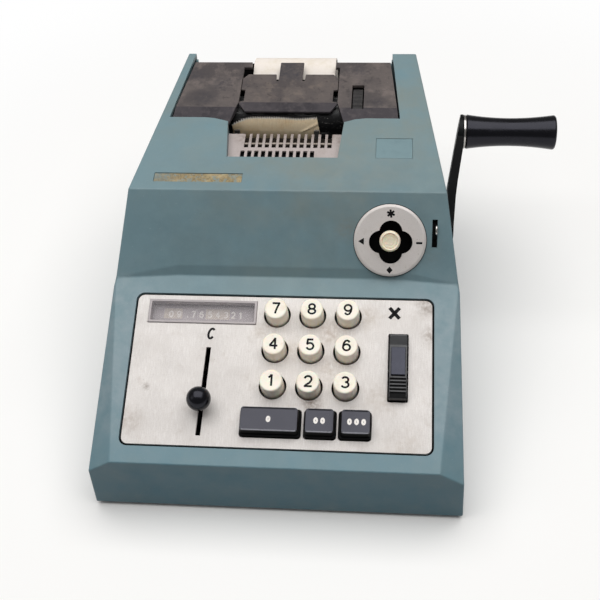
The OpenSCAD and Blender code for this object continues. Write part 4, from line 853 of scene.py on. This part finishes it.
class ADDINGMACHINE_OT_digit_keys(bpy.types.Operator):
    """Nine round digit keys with dished tops and their figures"""
    bl_idname = "adding_machine.digit_keys"
    bl_label = "Digit keys"

    def execute(self, context):
        size = context.scene.adding_machine_sizes.figure_size
        cap = turned("cap", [
            (0.0, -27.8), (1.3, -27.8), (1.5, -27.5), (1.5, -6.0), (6.7, -6.0), (6.95, -5.7), (6.95, 0.0),
            (6.9, 6.0), (6.85, 9.1), (6.74, 9.7), (6.5, 10.1), (6.1, 10.3), (5.6, 10.33), (4.8, 10.22),
            (3.3, 10.02), (1.7, 9.9), (0.0, 9.86)], 64)
        for n, digit in enumerate(DIGITS):
            place = DECK @ shift(KEY_COLUMNS[n % 3], KEY_ROWS[n // 3], 0)
            mark = figure("figure_" + digit, digit, size * 0.72, size, 1.2, 0.15, 0.2, 14.0)
            lay_on(mark, cap, 0.05)
            key = copy_of(cap, "digit_key_" + digit)
            settle(key, place, "ivory", "key_" + digit, ("key_" + digit,))
            settle(mark, place, "ink", "key_" + digit)
        bpy.data.objects.remove(cap, do_unlink=True)
        return {"FINISHED"}


class ADDINGMACHINE_OT_zero_keys(bpy.types.Operator):
    """Three black zero keys with rounded corners, a lip along the front and white figures"""
    bl_idname = "adding_machine.zero_keys"
    bl_label = "Zero keys"

    def execute(self, context):
        for node, text, x, w, stems, lean in ZEROS:
            place = DECK @ shift(x, ZERO_Y, 0)
            key = slab("zero_" + node, rounded(0, ZERO_LENGTH / 2, w, ZERO_LENGTH, 1.8, 5), -5.0, 6.4)
            edit(key)
            pick(key, "FACE", lambda p, n: n.z > 0.9)
            bpy.ops.transform.resize(value=(1.0 - 1.7 / w, 0.86, 1.0), center_override=(0.0, 13.2, 6.4))
            bpy.ops.transform.translate(value=(lean, 0, 0))
            # Finger hollow: the top is inset and sunk
            bpy.ops.mesh.inset(thickness=1.1)
            bpy.ops.transform.translate(value=(0, 0, -0.28))
            bpy.ops.object.mode_set(mode="OBJECT")
            soften(key, 0.5, 3, 12.0)
            lip = slab("lip", rounded(0, ZERO_LENGTH / 2, w + 0.3, ZERO_LENGTH + 0.3, 1.9, 5), 0.2, 1.0)
            soften(lip, 0.2, 2, 50.0)
            rods = [turned("stem", [(0, -27.8), (1.3, -27.8), (1.5, -27.5), (1.5, -4.5), (0, -4.5)], 24)
                    for _ in stems]
            pitch = 4.05
            first = 1.8 * lean - pitch * (len(text) - 1) / 2.0
            marks = [figure("zero_figure", "0", 2.7, 3.8, 1.2, first + pitch * k, 8.9, 9.0)
                     for k in range(len(text))]
            mark = lay_on(join("zero_figure_" + node, marks), key, 0.05)
            key = join("zero_" + node,
                       [key, lip] + [move(r, shift(dx, ZERO_LENGTH / 2, 0)) for r, dx in zip(rods, stems)])
            # The front edge gets a painted highlight in grey; the sides, fronts and lip get a darker, dull
            # copy of the plastic as painted shade
            zone = [1 if f.center.z > 5.9 and f.center.y < 2.6 and f.normal.z > 0.35
                    else 2 if f.normal.z < 0.8 or f.center.z < 2.0 else 0 for f in key.data.polygons]
            settle(key, place, "jet", node, (node,))
            key.data.materials.append(FINISH["worn"])
            key.data.materials.append(FINISH["jet_painted_shade"])
            for face, k in zip(key.data.polygons, zone):
                face.material_index = k
            settle(mark, place, "white", node)
        return {"FINISHED"}


class ADDINGMACHINE_OT_clear_lever(bpy.types.Operator):
    """Clear lever with its black ball"""
    bl_idname = "adding_machine.clear_lever"
    bl_label = "Clear lever"

    def execute(self, context):
        dressed("lever_arm", "clear_lever", 0.25, 2, 40.0, "steel", "clear")
        # A ball with a small flat where the arm enters
        profile = [(0.0, -7.05), (1.4, -7.05), (1.8, -6.98)]
        profile += [(7.2 * math.sin(math.radians(a)), -7.2 * math.cos(math.radians(a)))
                    for a in range(16, 180, 6)] + [(0.0, 7.2)]
        ball = turned("lever_ball", profile, 64)
        settle(ball, LEVER @ shift(0, 0, 43.0), "grip", "clear", ("clear_knob",))
        return {"FINISHED"}


class ADDINGMACHINE_OT_rocker(bpy.types.Operator):
    """Multiply rocker: ramp, raised middle and ribs"""
    bl_idname = "adding_machine.rocker"
    bl_label = "Multiply rocker"

    def execute(self, context):
        outline = [(-20.65, -4.0), (-20.65, 3.8), (-19.9, 4.5), (-18.2, 4.6), (-17.6, 4.1), (-7.0, 4.1),
                   (11.4, 4.6), (12.6, 4.4), (19.6, 1.9), (20.2, 2.1), (20.65, 1.6), (20.65, -4.0),
                   (6.0, -12.0), (-6.0, -12.0)]
        body = move(slab("rocker", outline, -5.75, 5.75), SIDE)
        soften(body, 0.5, 3, 10.0)
        middle = soften(box("middle", -4.7, 4.7, -6.5, 11.0, 3.6, 5.7), 0.5, 3, 40.0)
        ribs = [soften(box("rib", -5.35, 5.35, -16.9 + 2.15 * k, -15.75 + 2.15 * k, 3.6, 5.2), 0.3, 3, 40.0)
                for k in range(5)]
        slim = DECK @ shift(ROCKER_X, ROCKER_Y, 0) @ Matrix.Scale(0.91, 4, (1, 0, 0))
        rocker = join("rocker", [body] + ribs)
        settle(rocker, slim, "charcoal", "rocker", ("multiply_rocker",))
        settle(middle, slim, "slate_sheen", "rocker")
        # Painted shade: a dark ground between the ribs and at both ends
        dark = [box("ground", -5.3, 5.3, -17.5, -6.9, 3.9, 4.3),
                box("ground", -5.3, 5.3, -20.0, -17.9, 4.3, 4.64)]
        settle(soften(join("rocker_groove_shade", dark), 0.1, 1, 50.0), slim, "cup", "rocker")
        return {"FINISHED"}


class ADDINGMACHINE_OT_selector(bpy.types.Operator):
    """Selector ring with its four-lobed opening and signs, the cup, the button and the release tab"""
    bl_idname = "adding_machine.selector"
    bl_label = "Selector"

    def execute(self, context):
        ring = turned("ring", [(0.0, 0.0), (21.6, 0.0), (22.0, 0.3), (21.95, 0.9), (21.5, 1.35), (20.6, 1.75),
                               (20.1, 1.8), (0.0, 1.7)], 128)
        for a in (0, math.pi / 2, math.pi, 3 * math.pi / 2):
            carve(ring, slab("lobe", circle(0.45 + 6.2 * math.cos(a), -1.0 + 6.2 * math.sin(a), 7.0, 48),
                             -3.0, 5.0))
        soften(ring, 0.3, 2, 50.0)
        settle(ring, DIAL, "nickel", "machine", ("selector_ring",))
        signs = [move(slab("arm", rounded(0, 0, 1.3, 5.0, 0.3, 3), 1.72, 1.80),
                      shift(0.2, 16.4, 0) @ turn(60 * k + 8, "Z")) for k in range(3)]
        signs.append(slab("bar", rounded(17.7, -1.2, 3.7, 1.3, 0.2, 3), 1.72, 1.80))
        signs.append(slab("lozenge", [(0.1, -20.2), (2.0, -18.0), (0.1, -15.8), (-1.8, -18.0)], 1.72, 1.80))
        signs.append(slab("pointer", [(-19.3, -0.7), (-15.8, 1.4), (-15.8, -2.8)], 1.72, 1.80))
        settle(join("ring_signs", signs), DIAL, "ink", "machine")
        # Dark seam between the ring and the riser
        seam = turned("seam", [(20.0, 0.02), (22.35, 0.02), (22.35, 0.16), (20.0, 0.16), (20.0, 0.02)], 96)
        settle(seam, DIAL, "cup", "machine")
        dressed("cup", "selector_cup", 0.3, 2, 50.0, "cup", "machine")
        button = turned("button", [
            (0.0, 5.4), (2.5, 5.4), (2.5, 3.7), (5.9, 3.7), (6.3, 4.0), (6.4, 4.4), (6.35, 6.4), (6.1, 7.2),
            (5.6, 7.65), (5.1, 7.75), (4.75, 7.5), (4.6, 6.9), (4.35, 6.8), (4.1, 7.15), (2.8, 7.0),
            (2.6, 6.7), (2.3, 6.95), (1.7, 6.85), (0.0, 6.7)], 64)
        settle(button, DIAL, "button", "selector", ("selector_button",))
        tab = move(slab("tab", rounded(3.4, -0.35, 6.4, 6.7, 2.6, 8), 0.35, 1.4), SIDE)
        soften(tab, 0.35, 3, 40.0)
        settle(tab, TAB, "chrome", "tab", ("release_tab",))
        foot = soften(box("tab_foot", -3.0, 3.0, -2.0, 8.2, -4.2, -2.8), 0.3, 2, 40.0)
        settle(foot, TAB, "cup", "tab")
        return {"FINISHED"}


class ADDINGMACHINE_OT_top_plates(bpy.types.Operator):
    """Bare name plate, bare square plate and the comb plate of the print window"""
    bl_idname = "adding_machine.top_plates"
    bl_label = "Top plates"

    def execute(self, context):
        name = slab("name_plate_dressed", rounded(-55.7, 10.7, 55.2, 7.6, 0.5, 4), -0.8, -0.45)
        settle(soften(name, 0.2, 2, 40.0), TOP, "brass", "machine", ("name_plate",))
        badge = slab("badge_dressed", rounded(65.6, 39.2, 22.7, 18.1, 0.6, 4), -0.6, -0.1)
        settle(soften(badge, 0.18, 2, 40.0), TOP, "badge", "machine", ("badge_plate",))
        lean = COMB_LENGTH / 34.0
        comb = slab("comb", [
            (-39.9, 30.0), (30.2, 30.0), (30.2 + 2.6 * lean, 30.0 + COMB_LENGTH),
            (-39.9 - 3.1 * lean, 30.0 + COMB_LENGTH)], COMB_LOW - 1.2, COMB_LOW)
        for k in range(13):
            x = MECH_X + 1.6 + 4.5 * (k - 6)
            carve(comb, box("notch", x - 1.4, x + 1.4, 45.5, 59.5, COMB_LOW - 3.0, COMB_LOW + 2.0))
        for k in range(11):
            x = MECH_X - 4.6 + 4.5 * (k - 5)
            carve(comb, box("slot", x - 1.35, x + 1.35, 36.0, 42.4, COMB_LOW - 3.0, COMB_LOW + 2.0))
        settle(soften(comb, 0.15, 2, 50.0), TOP, "zinc", "machine", ("comb_plate",))
        # Ledge across the comb's notches, and the dark sheets of painted shade seen through its holes
        ledge = [box("ledge", -32.0 + 4.5 * k, -28.6 + 4.5 * k, 49.3, 50.7, -7.2, -6.35 if k > 3 else -6.6)
                 for k in range(13)]
        settle(soften(join("comb_ledge", ledge), 0.15, 2, 50.0), TOP, "ledge", "machine")
        shade_sheet = soften(box("comb_shade_sheet", -39.0, 29.6, 31.0, 44.8, -9.6, -9.0), 0.15, 2, 50.0)
        settle(shade_sheet, TOP, "cup", "machine")
        shade_sheet = soften(box("notch_shade_sheet", -39.0, 29.6, 45.2, 58.0, -9.8, -9.2), 0.15, 2, 50.0)
        settle(shade_sheet, TOP, "shade", "machine")
        return {"FINISHED"}


def torn_edge(u):
    """Height of the strip's torn edge over the platen's axis, at a share of its width."""
    return 6.6 + 3.9 * (1.0 - max(0.0, 1.0 - u / 0.3) ** 2) - math.sin(math.pi * max(0.0, u - 0.5) / 0.5) ** 2


class ADDINGMACHINE_OT_paper(bpy.types.Operator):
    """Torn paper strip round the platen, the roll behind the flap, and a black sheet of painted shade under
    the roll
    """
    bl_idname = "adding_machine.paper"
    bl_label = "Paper"

    def execute(self, context):
        pitch = context.scene.adding_machine_sizes.tooth_pitch
        x0, width, rows = -42.6, 58.6, 20
        columns = int(round(width / pitch)) * 4
        r = 15.32
        strip = primitive("grid", "paper", x_subdivisions=columns, y_subdivisions=rows, size=2.0)
        mesh = edit(strip)
        stations = sorted({round(v.co.x, 4) for v in mesh.verts})
        for v in mesh.verts:
            column = stations.index(round(v.co.x, 4))
            u, t = column / (len(stations) - 1.0), (v.co.y + 1) / 2
            x = x0 + width * u
            top = torn_edge(u) + (0.9, 0.0, -0.6, 0.0)[column % 4]
            if t < 0.4:
                a = (1 - t / 0.4) * math.radians(72)
                y, z = -r * math.cos(a), -r * math.sin(a)
            else:
                k = (t - 0.4) / 0.6
                z = top * k
                # the free edge leans back, the left end curls forward and droops
                y = -r + 1.5 * k * k - 3.2 * k * max(0.0, 1 - u / 0.22) ** 2
                x -= 1.9 * k * max(0.0, u - 0.85) / 0.15
                # a soft crease runs up to the right edge
                line = -0.6 + 6.6 * (u - 0.76) / 0.22
                y -= 0.55 * math.exp(-((z - line) / 0.7) ** 2) * max(0.0, min(1.0, (u - 0.72) / 0.1))
            v.co = (x, PLATEN_Y + y, PLATEN_Z + z)
        bmesh.update_edit_mesh(strip.data)
        bpy.ops.mesh.normals_make_consistent(inside=False)
        bpy.ops.object.mode_set(mode="OBJECT")
        apply(strip, "SOLIDIFY", thickness=0.14, offset=0.0)
        settle(strip, Matrix.Identity(4), "strip", "machine", ("paper_strip",), 50.0)
        # torn edge: the last row of faces is paler, bare fibre and a painted highlight along the edge
        strip.data.materials.append(FINISH["roll"])
        for face in strip.data.polygons:
            if sum(strip.data.vertices[i].co.z > (PLATEN_Z + 5.6) * MM
                   for i in face.vertices) == len(face.vertices):
                u = (face.center.x / MM + MID_X - x0) / width
                face.material_index = 1 if face.center.z / MM > PLATEN_Z + torn_edge(u) - 0.75 else 0
        # Roll: layered ends with a slightly sunk core
        profile = [(3.06, -27.6), (5.4, -27.6), (5.5, -28.2)]
        for k in range(9):
            r = 6.0 + 1.5 * k
            profile += [(r, -28.3 - 0.12 * (k % 3)), (r + 0.75, -28.45 - 0.1 * ((k * 2) % 3))]
        profile += [(ROLL_R - 0.2, -28.45), (ROLL_R, -28.2)]
        profile = profile + [(r, -h) for r, h in reversed(profile)]
        roll = turned("roll", profile + [profile[0]], 72)
        settle(roll, shift(-4.3, ROLL_Y, ROLL_Z) @ turn(90, "Y"), "roll", "roll", ("paper_roll",))
        # Painted shade: a curved black sheet under the roll, with cheeks at its ends
        outer, inner = ROLL_R + 2.4, ROLL_R + 1.6
        bend = arc(0, 0, outer, 152, 342, 40) + arc(0, 0, inner, 342, 152, 40)
        roll_shade = [move(slab("roll_shade_sheet", bend, -31.5, 22.0), SIDE)]
        bend = arc(0, 0, outer, 152, 372, 52) + arc(0, 0, inner, 372, 152, 52)
        roll_shade += [move(slab("roll_shade_cheek", bend, a, b), SIDE) for a, b in ((-59.0, -31.5), (22.0, 52.0))]
        settle(soften(join("roll_shade_sheet", roll_shade), 0.15, 2, 50.0), shift(0, ROLL_Y, ROLL_Z), "cup", "machine")
        return {"FINISHED"}


def darken(obj, reach):
    """Gives the faces of the bent front band, up to a reach along the top, the darker lacquer as a painted
    shade.
    """
    back = (ROW @ TOP).inverted()
    obj.data.materials.append(FINISH["band_painted_shade"])
    for face in obj.data.polygons:
        if (back @ face.center).y < reach:
            face.material_index = 1


class ADDINGMACHINE_OT_cover(bpy.types.Operator):
    """Top cover, paper flap with its bent lip, and thumbwheel"""
    bl_idname = "adding_machine.cover"
    bl_label = "Cover and flap"

    def execute(self, context):
        cover = dressed("cover", "top_cover", 0.45, 2, 8.0, "lacquer", "machine")
        darken(cover, 78.9)
        half = [(-28.4, 77.4), (-32.6, 82.4), (-32.6, 84.4), (-29.8, 84.9), (-29.8, 96.6), (-32.6, 97.1),
                (-32.6, 108.6), (-31.8, 110.0), (-29.2, 113.5), (-10.0, 113.5), (-9.7, 106.6), (-8.1, 106.6),
                (-8.1, 126.4)]
        outline = half + [(-x, y) for x, y in reversed(half)]
        flap = slab("flap_dressed", outline, -2.0, -0.4)
        edit(flap)
        trim((0, 83.4, 0), (0, 1, 0), 0, False, False)
        pick(flap, "VERT", lambda p, n: p.y < 83.0)
        mesh = bmesh.from_edit_mesh(flap.data)
        for v in mesh.verts:
            if v.select:
                v.co.z -= (83.4 - v.co.y) * 0.42
        bmesh.update_edit_mesh(flap.data)
        bpy.ops.object.mode_set(mode="OBJECT")
        soften(flap, 0.35, 2, 15.0)
        ears = []
        for x in (-29.4, 25.6):
            ear = box("ear", x, x + 3.8, 108.5, 112.5, -5.9, -1.2)
            carve(ear, move(slab("bore", circle(0, 0, 1.23, 24), x - 5, x + 9), shift(0, 110.5, -4.0) @ SIDE))
            ears.append(soften(ear, 0.2, 2, 50.0))
        flap = join("flap_dressed", [flap] + ears)
        settle(flap, TOP @ shift(-5.4, 0, 0), "flap", "flap", ("paper_flap",))
        darken(flap, 83.6)
        dressed("thumbwheel_dressed", "thumbwheel", 0.25, 2, 50.0, "wheel", "platen")
        return {"FINISHED"}


class ADDINGMACHINE_OT_crank(bpy.types.Operator):
    """Crank arm, chrome collar and waisted black grip"""
    bl_idname = "adding_machine.crank"
    bl_label = "Crank"

    def execute(self, context):
        dressed("crank_arm_dressed", "crank_arm", 0.9, 3, 40.0, "arm", "crank",
                MILLI @ shift(0.15, 0, 0))
        face = 36.5 * math.tan(math.radians(9.0)) + 3.6
        axis = ARM @ shift(face, 0, 64.5) @ turn(90, "Y")
        collar = turned("collar", [
            (0.0, -2.6), (3.0, -2.6), (3.0, 0.0), (10.7, 0.0), (11.15, 0.3), (11.2, 0.7), (11.15, 1.4),
            (10.8, 1.8), (3.0, 1.8), (3.0, 56.3), (5.0, 56.3), (5.0, 57.5), (3.0, 57.5), (3.0, 56.9),
            (0.0, 56.9)], 72)
        settle(collar, axis @ shift(0, 0, 0.15), "chrome", "crank", ("crank_ferrule",))
        profile = [(3.08, 2.15), (10.7, 2.15), (11.15, 2.3), (11.38, 2.7)]
        for k in range(1, 24):
            q = abs(k - 12) / 12.0
            profile.append((9.2 + 2.2 * q * q, 2.2 + 57.1 * k / 24.0))
        profile += [(11.32, 59.0), (11.25, 59.6), (10.95, 60.2), (10.4, 60.6), (9.5, 60.82), (8.0, 60.9),
                    (6.0, 60.85), (0.0, 60.8)]
        grip = turned("grip_dressed", profile + [(0.0, 58.0), (5.3, 58.0), (5.3, 55.9), (3.08, 55.9),
                                                 (3.08, 2.15)], 80)
        settle(grip, axis, "grip", "grip", ("crank_grip",))
        return {"FINISHED"}


class ADDINGMACHINE_OT_inner_pieces(bpy.types.Operator):
    """Gives the pieces that stay as they are in the frame their finishes"""
    bl_idname = "adding_machine.inner_pieces"
    bl_label = "Inner pieces"

    def execute(self, context):
        inner = {"steel": ("stem_guide", "carriage_rail", "lever_brackets", "ribbon_plate", "side_frames",
                           "drive_sector", "type_bars", "spring_comb", "pin_carriage", "selector_gimbal"),
                 "bright": ("keyboard_posts", "tie_rods", "main_shaft", "roll_spindle", "selector_stem"),
                 "cup": ("tab_guide", "flap_pin"), "platen": ("platen", "pressure_rollers"),
                 "tin": ("spool_left", "spool_right"), "ribbon": ("ink_ribbon",),
                 "gear": ("register_wheels",)}
        for finish_name, nodes in inner.items():
            for n in nodes:
                mesh = frame["nodes"][n].data
                mesh.materials.clear()
                mesh.materials.append(FINISH[finish_name])
        return {"FINISHED"}


class ADDINGMACHINE_OT_stage(bpy.types.Operator):
    """Pale floor, soft overhead light and the camera"""
    bl_idname = "adding_machine.stage"
    bl_label = "Stage"

    def execute(self, context):
        scene = context.scene
        scene.view_settings.view_transform = "Standard"
        floor = primitive("plane", "floor", size=8.0)
        edit(floor)
        bpy.ops.mesh.subdivide(number_cuts=3)
        bpy.ops.object.mode_set(mode="OBJECT")
        paper = bpy.data.materials.new("Pale paper floor")
        paper.use_nodes = True
        tree = paper.node_tree
        tree.nodes.clear()
        path = add(tree, "LightPath")
        seen = add(tree, "Math", {0: path.outputs["Is Camera Ray"], 1: path.outputs["Is Glossy Ray"]},
                   operation="MAXIMUM")
        seen = add(tree, "Math", {0: seen.outputs[0], 1: path.outputs["Is Transmission Ray"]},
                   operation="MAXIMUM")
        # What the lens sees is pale; what lights the object from below is a dim blue-grey
        pale = add(tree, "BsdfDiffuse", {"Color": linear("#FAF9F7")})
        dim = add(tree, "BsdfDiffuse", {"Color": linear("#6F7C84")})
        # Away from the object's shadow the pale floor runs out to plain white
        place = add(tree, "TexCoord").outputs["Object"]
        far = add(tree, "VectorMath", {0: place}, operation="LENGTH").outputs["Value"]
        out = add(tree, "MapRange", {"Value": far, "From Min": 0.22, "From Max": 0.55},
                  interpolation_type="SMOOTHSTEP")
        white = add(tree, "Emission", {"Color": (1.0, 1.0, 1.0, 1.0), "Strength": 1.0})
        ground = add(tree, "MixShader", {0: out.outputs["Result"], 1: pale.outputs[0], 2: white.outputs[0]})
        both = add(tree, "MixShader", {0: seen.outputs[0], 1: dim.outputs[0], 2: ground.outputs[0]})
        add(tree, "OutputMaterial", {"Surface": both.outputs[0]})
        floor.data.materials.append(paper)
        world = scene.world or bpy.data.worlds.new("Studio")
        scene.world = world
        world.use_nodes = True
        tree = world.node_tree
        tree.nodes.clear()
        path = add(tree, "LightPath")
        level = add(tree, "MapRange", {"Value": path.outputs["Is Camera Ray"], "To Min": 0.19, "To Max": 1.0})
        sky = add(tree, "Background", {"Color": (1.0, 1.0, 1.0, 1.0), "Strength": level.outputs["Result"]})
        add(tree, "OutputWorld", {"Surface": sky.outputs[0]})
        lamps = (("overhead", (0.0, 0.05, 1.30), (0.0, 0.0, 0.05), (1.9, 1.4), 21.5),
                 ("left", (-1.3, -0.5, 0.9), (0.0, 0.0, 0.06), (0.7, 0.7), 1.0))
        for name, place, aim, size, power in lamps:
            lamp = bpy.data.lights.new(name, "AREA")
            lamp.shape, lamp.size, lamp.size_y, lamp.energy = "RECTANGLE", size[0], size[1], power
            holder = bpy.data.objects.new(name, lamp)
            scene.collection.objects.link(holder)
            holder.location = place
            holder.rotation_euler = (Vector(aim) - Vector(place)).to_track_quat("-Z", "Y").to_euler()
        camera = bpy.data.objects.new("camera", bpy.data.cameras.new("camera"))
        scene.collection.objects.link(camera)
        camera.data.lens, camera.data.sensor_width, camera.data.clip_start = 60.0, 36.0, 0.05
        camera.matrix_world = shift(*(ROW @ Vector(CAMERA))) @ VIEW.to_4x4()
        scene.camera = camera
        return {"FINISHED"}


class ADDINGMACHINE_PT_pieces(bpy.types.Panel):
    """Lists the machine's groups of pieces"""
    bl_idname = "ADDINGMACHINE_PT_pieces"
    bl_label = "Adding machine"
    bl_space_type = "VIEW_3D"
    bl_region_type = "UI"
    bl_category = "Adding machine"

    def draw(self, context):
        column = self.layout.column(align=True)
        for cls in STEPS:
            column.operator(cls.bl_idname)
        for group in (context.scene.adding_machine_sizes, context.scene.adding_machine_colours):
            for key in group.bl_rna.properties.keys():
                if key not in ("rna_type", "name"):
                    self.layout.prop(group, key)


STEPS = (ADDINGMACHINE_OT_finishes, ADDINGMACHINE_OT_casing, ADDINGMACHINE_OT_base, ADDINGMACHINE_OT_panel,
         ADDINGMACHINE_OT_digit_keys, ADDINGMACHINE_OT_zero_keys, ADDINGMACHINE_OT_clear_lever,
         ADDINGMACHINE_OT_rocker, ADDINGMACHINE_OT_selector, ADDINGMACHINE_OT_top_plates,
         ADDINGMACHINE_OT_paper, ADDINGMACHINE_OT_cover, ADDINGMACHINE_OT_crank,
         ADDINGMACHINE_OT_inner_pieces, ADDINGMACHINE_OT_stage)
CLASSES = (AddingMachineColours, AddingMachineSizes) + STEPS + (ADDINGMACHINE_PT_pieces,)


def register():
    for cls in CLASSES:
        bpy.utils.register_class(cls)
    bpy.types.Scene.adding_machine_colours = bpy.props.PointerProperty(type=AddingMachineColours)
    bpy.types.Scene.adding_machine_sizes = bpy.props.PointerProperty(type=AddingMachineSizes)


def unregister():
    del bpy.types.Scene.adding_machine_sizes
    del bpy.types.Scene.adding_machine_colours
    for cls in reversed(CLASSES):
        bpy.utils.unregister_class(cls)


def main():
    register()
    bpy.ops.adding_machine.finishes()
    bpy.ops.adding_machine.casing()
    bpy.ops.adding_machine.base()
    bpy.ops.adding_machine.panel()
    bpy.ops.adding_machine.digit_keys()
    bpy.ops.adding_machine.zero_keys()
    bpy.ops.adding_machine.clear_lever()
    bpy.ops.adding_machine.rocker()
    bpy.ops.adding_machine.selector()
    bpy.ops.adding_machine.top_plates()
    bpy.ops.adding_machine.paper()
    bpy.ops.adding_machine.cover()
    bpy.ops.adding_machine.crank()
    bpy.ops.adding_machine.inner_pieces()
    bpy.ops.adding_machine.stage()
    deselect()


if __name__ == "__main__":
    main()
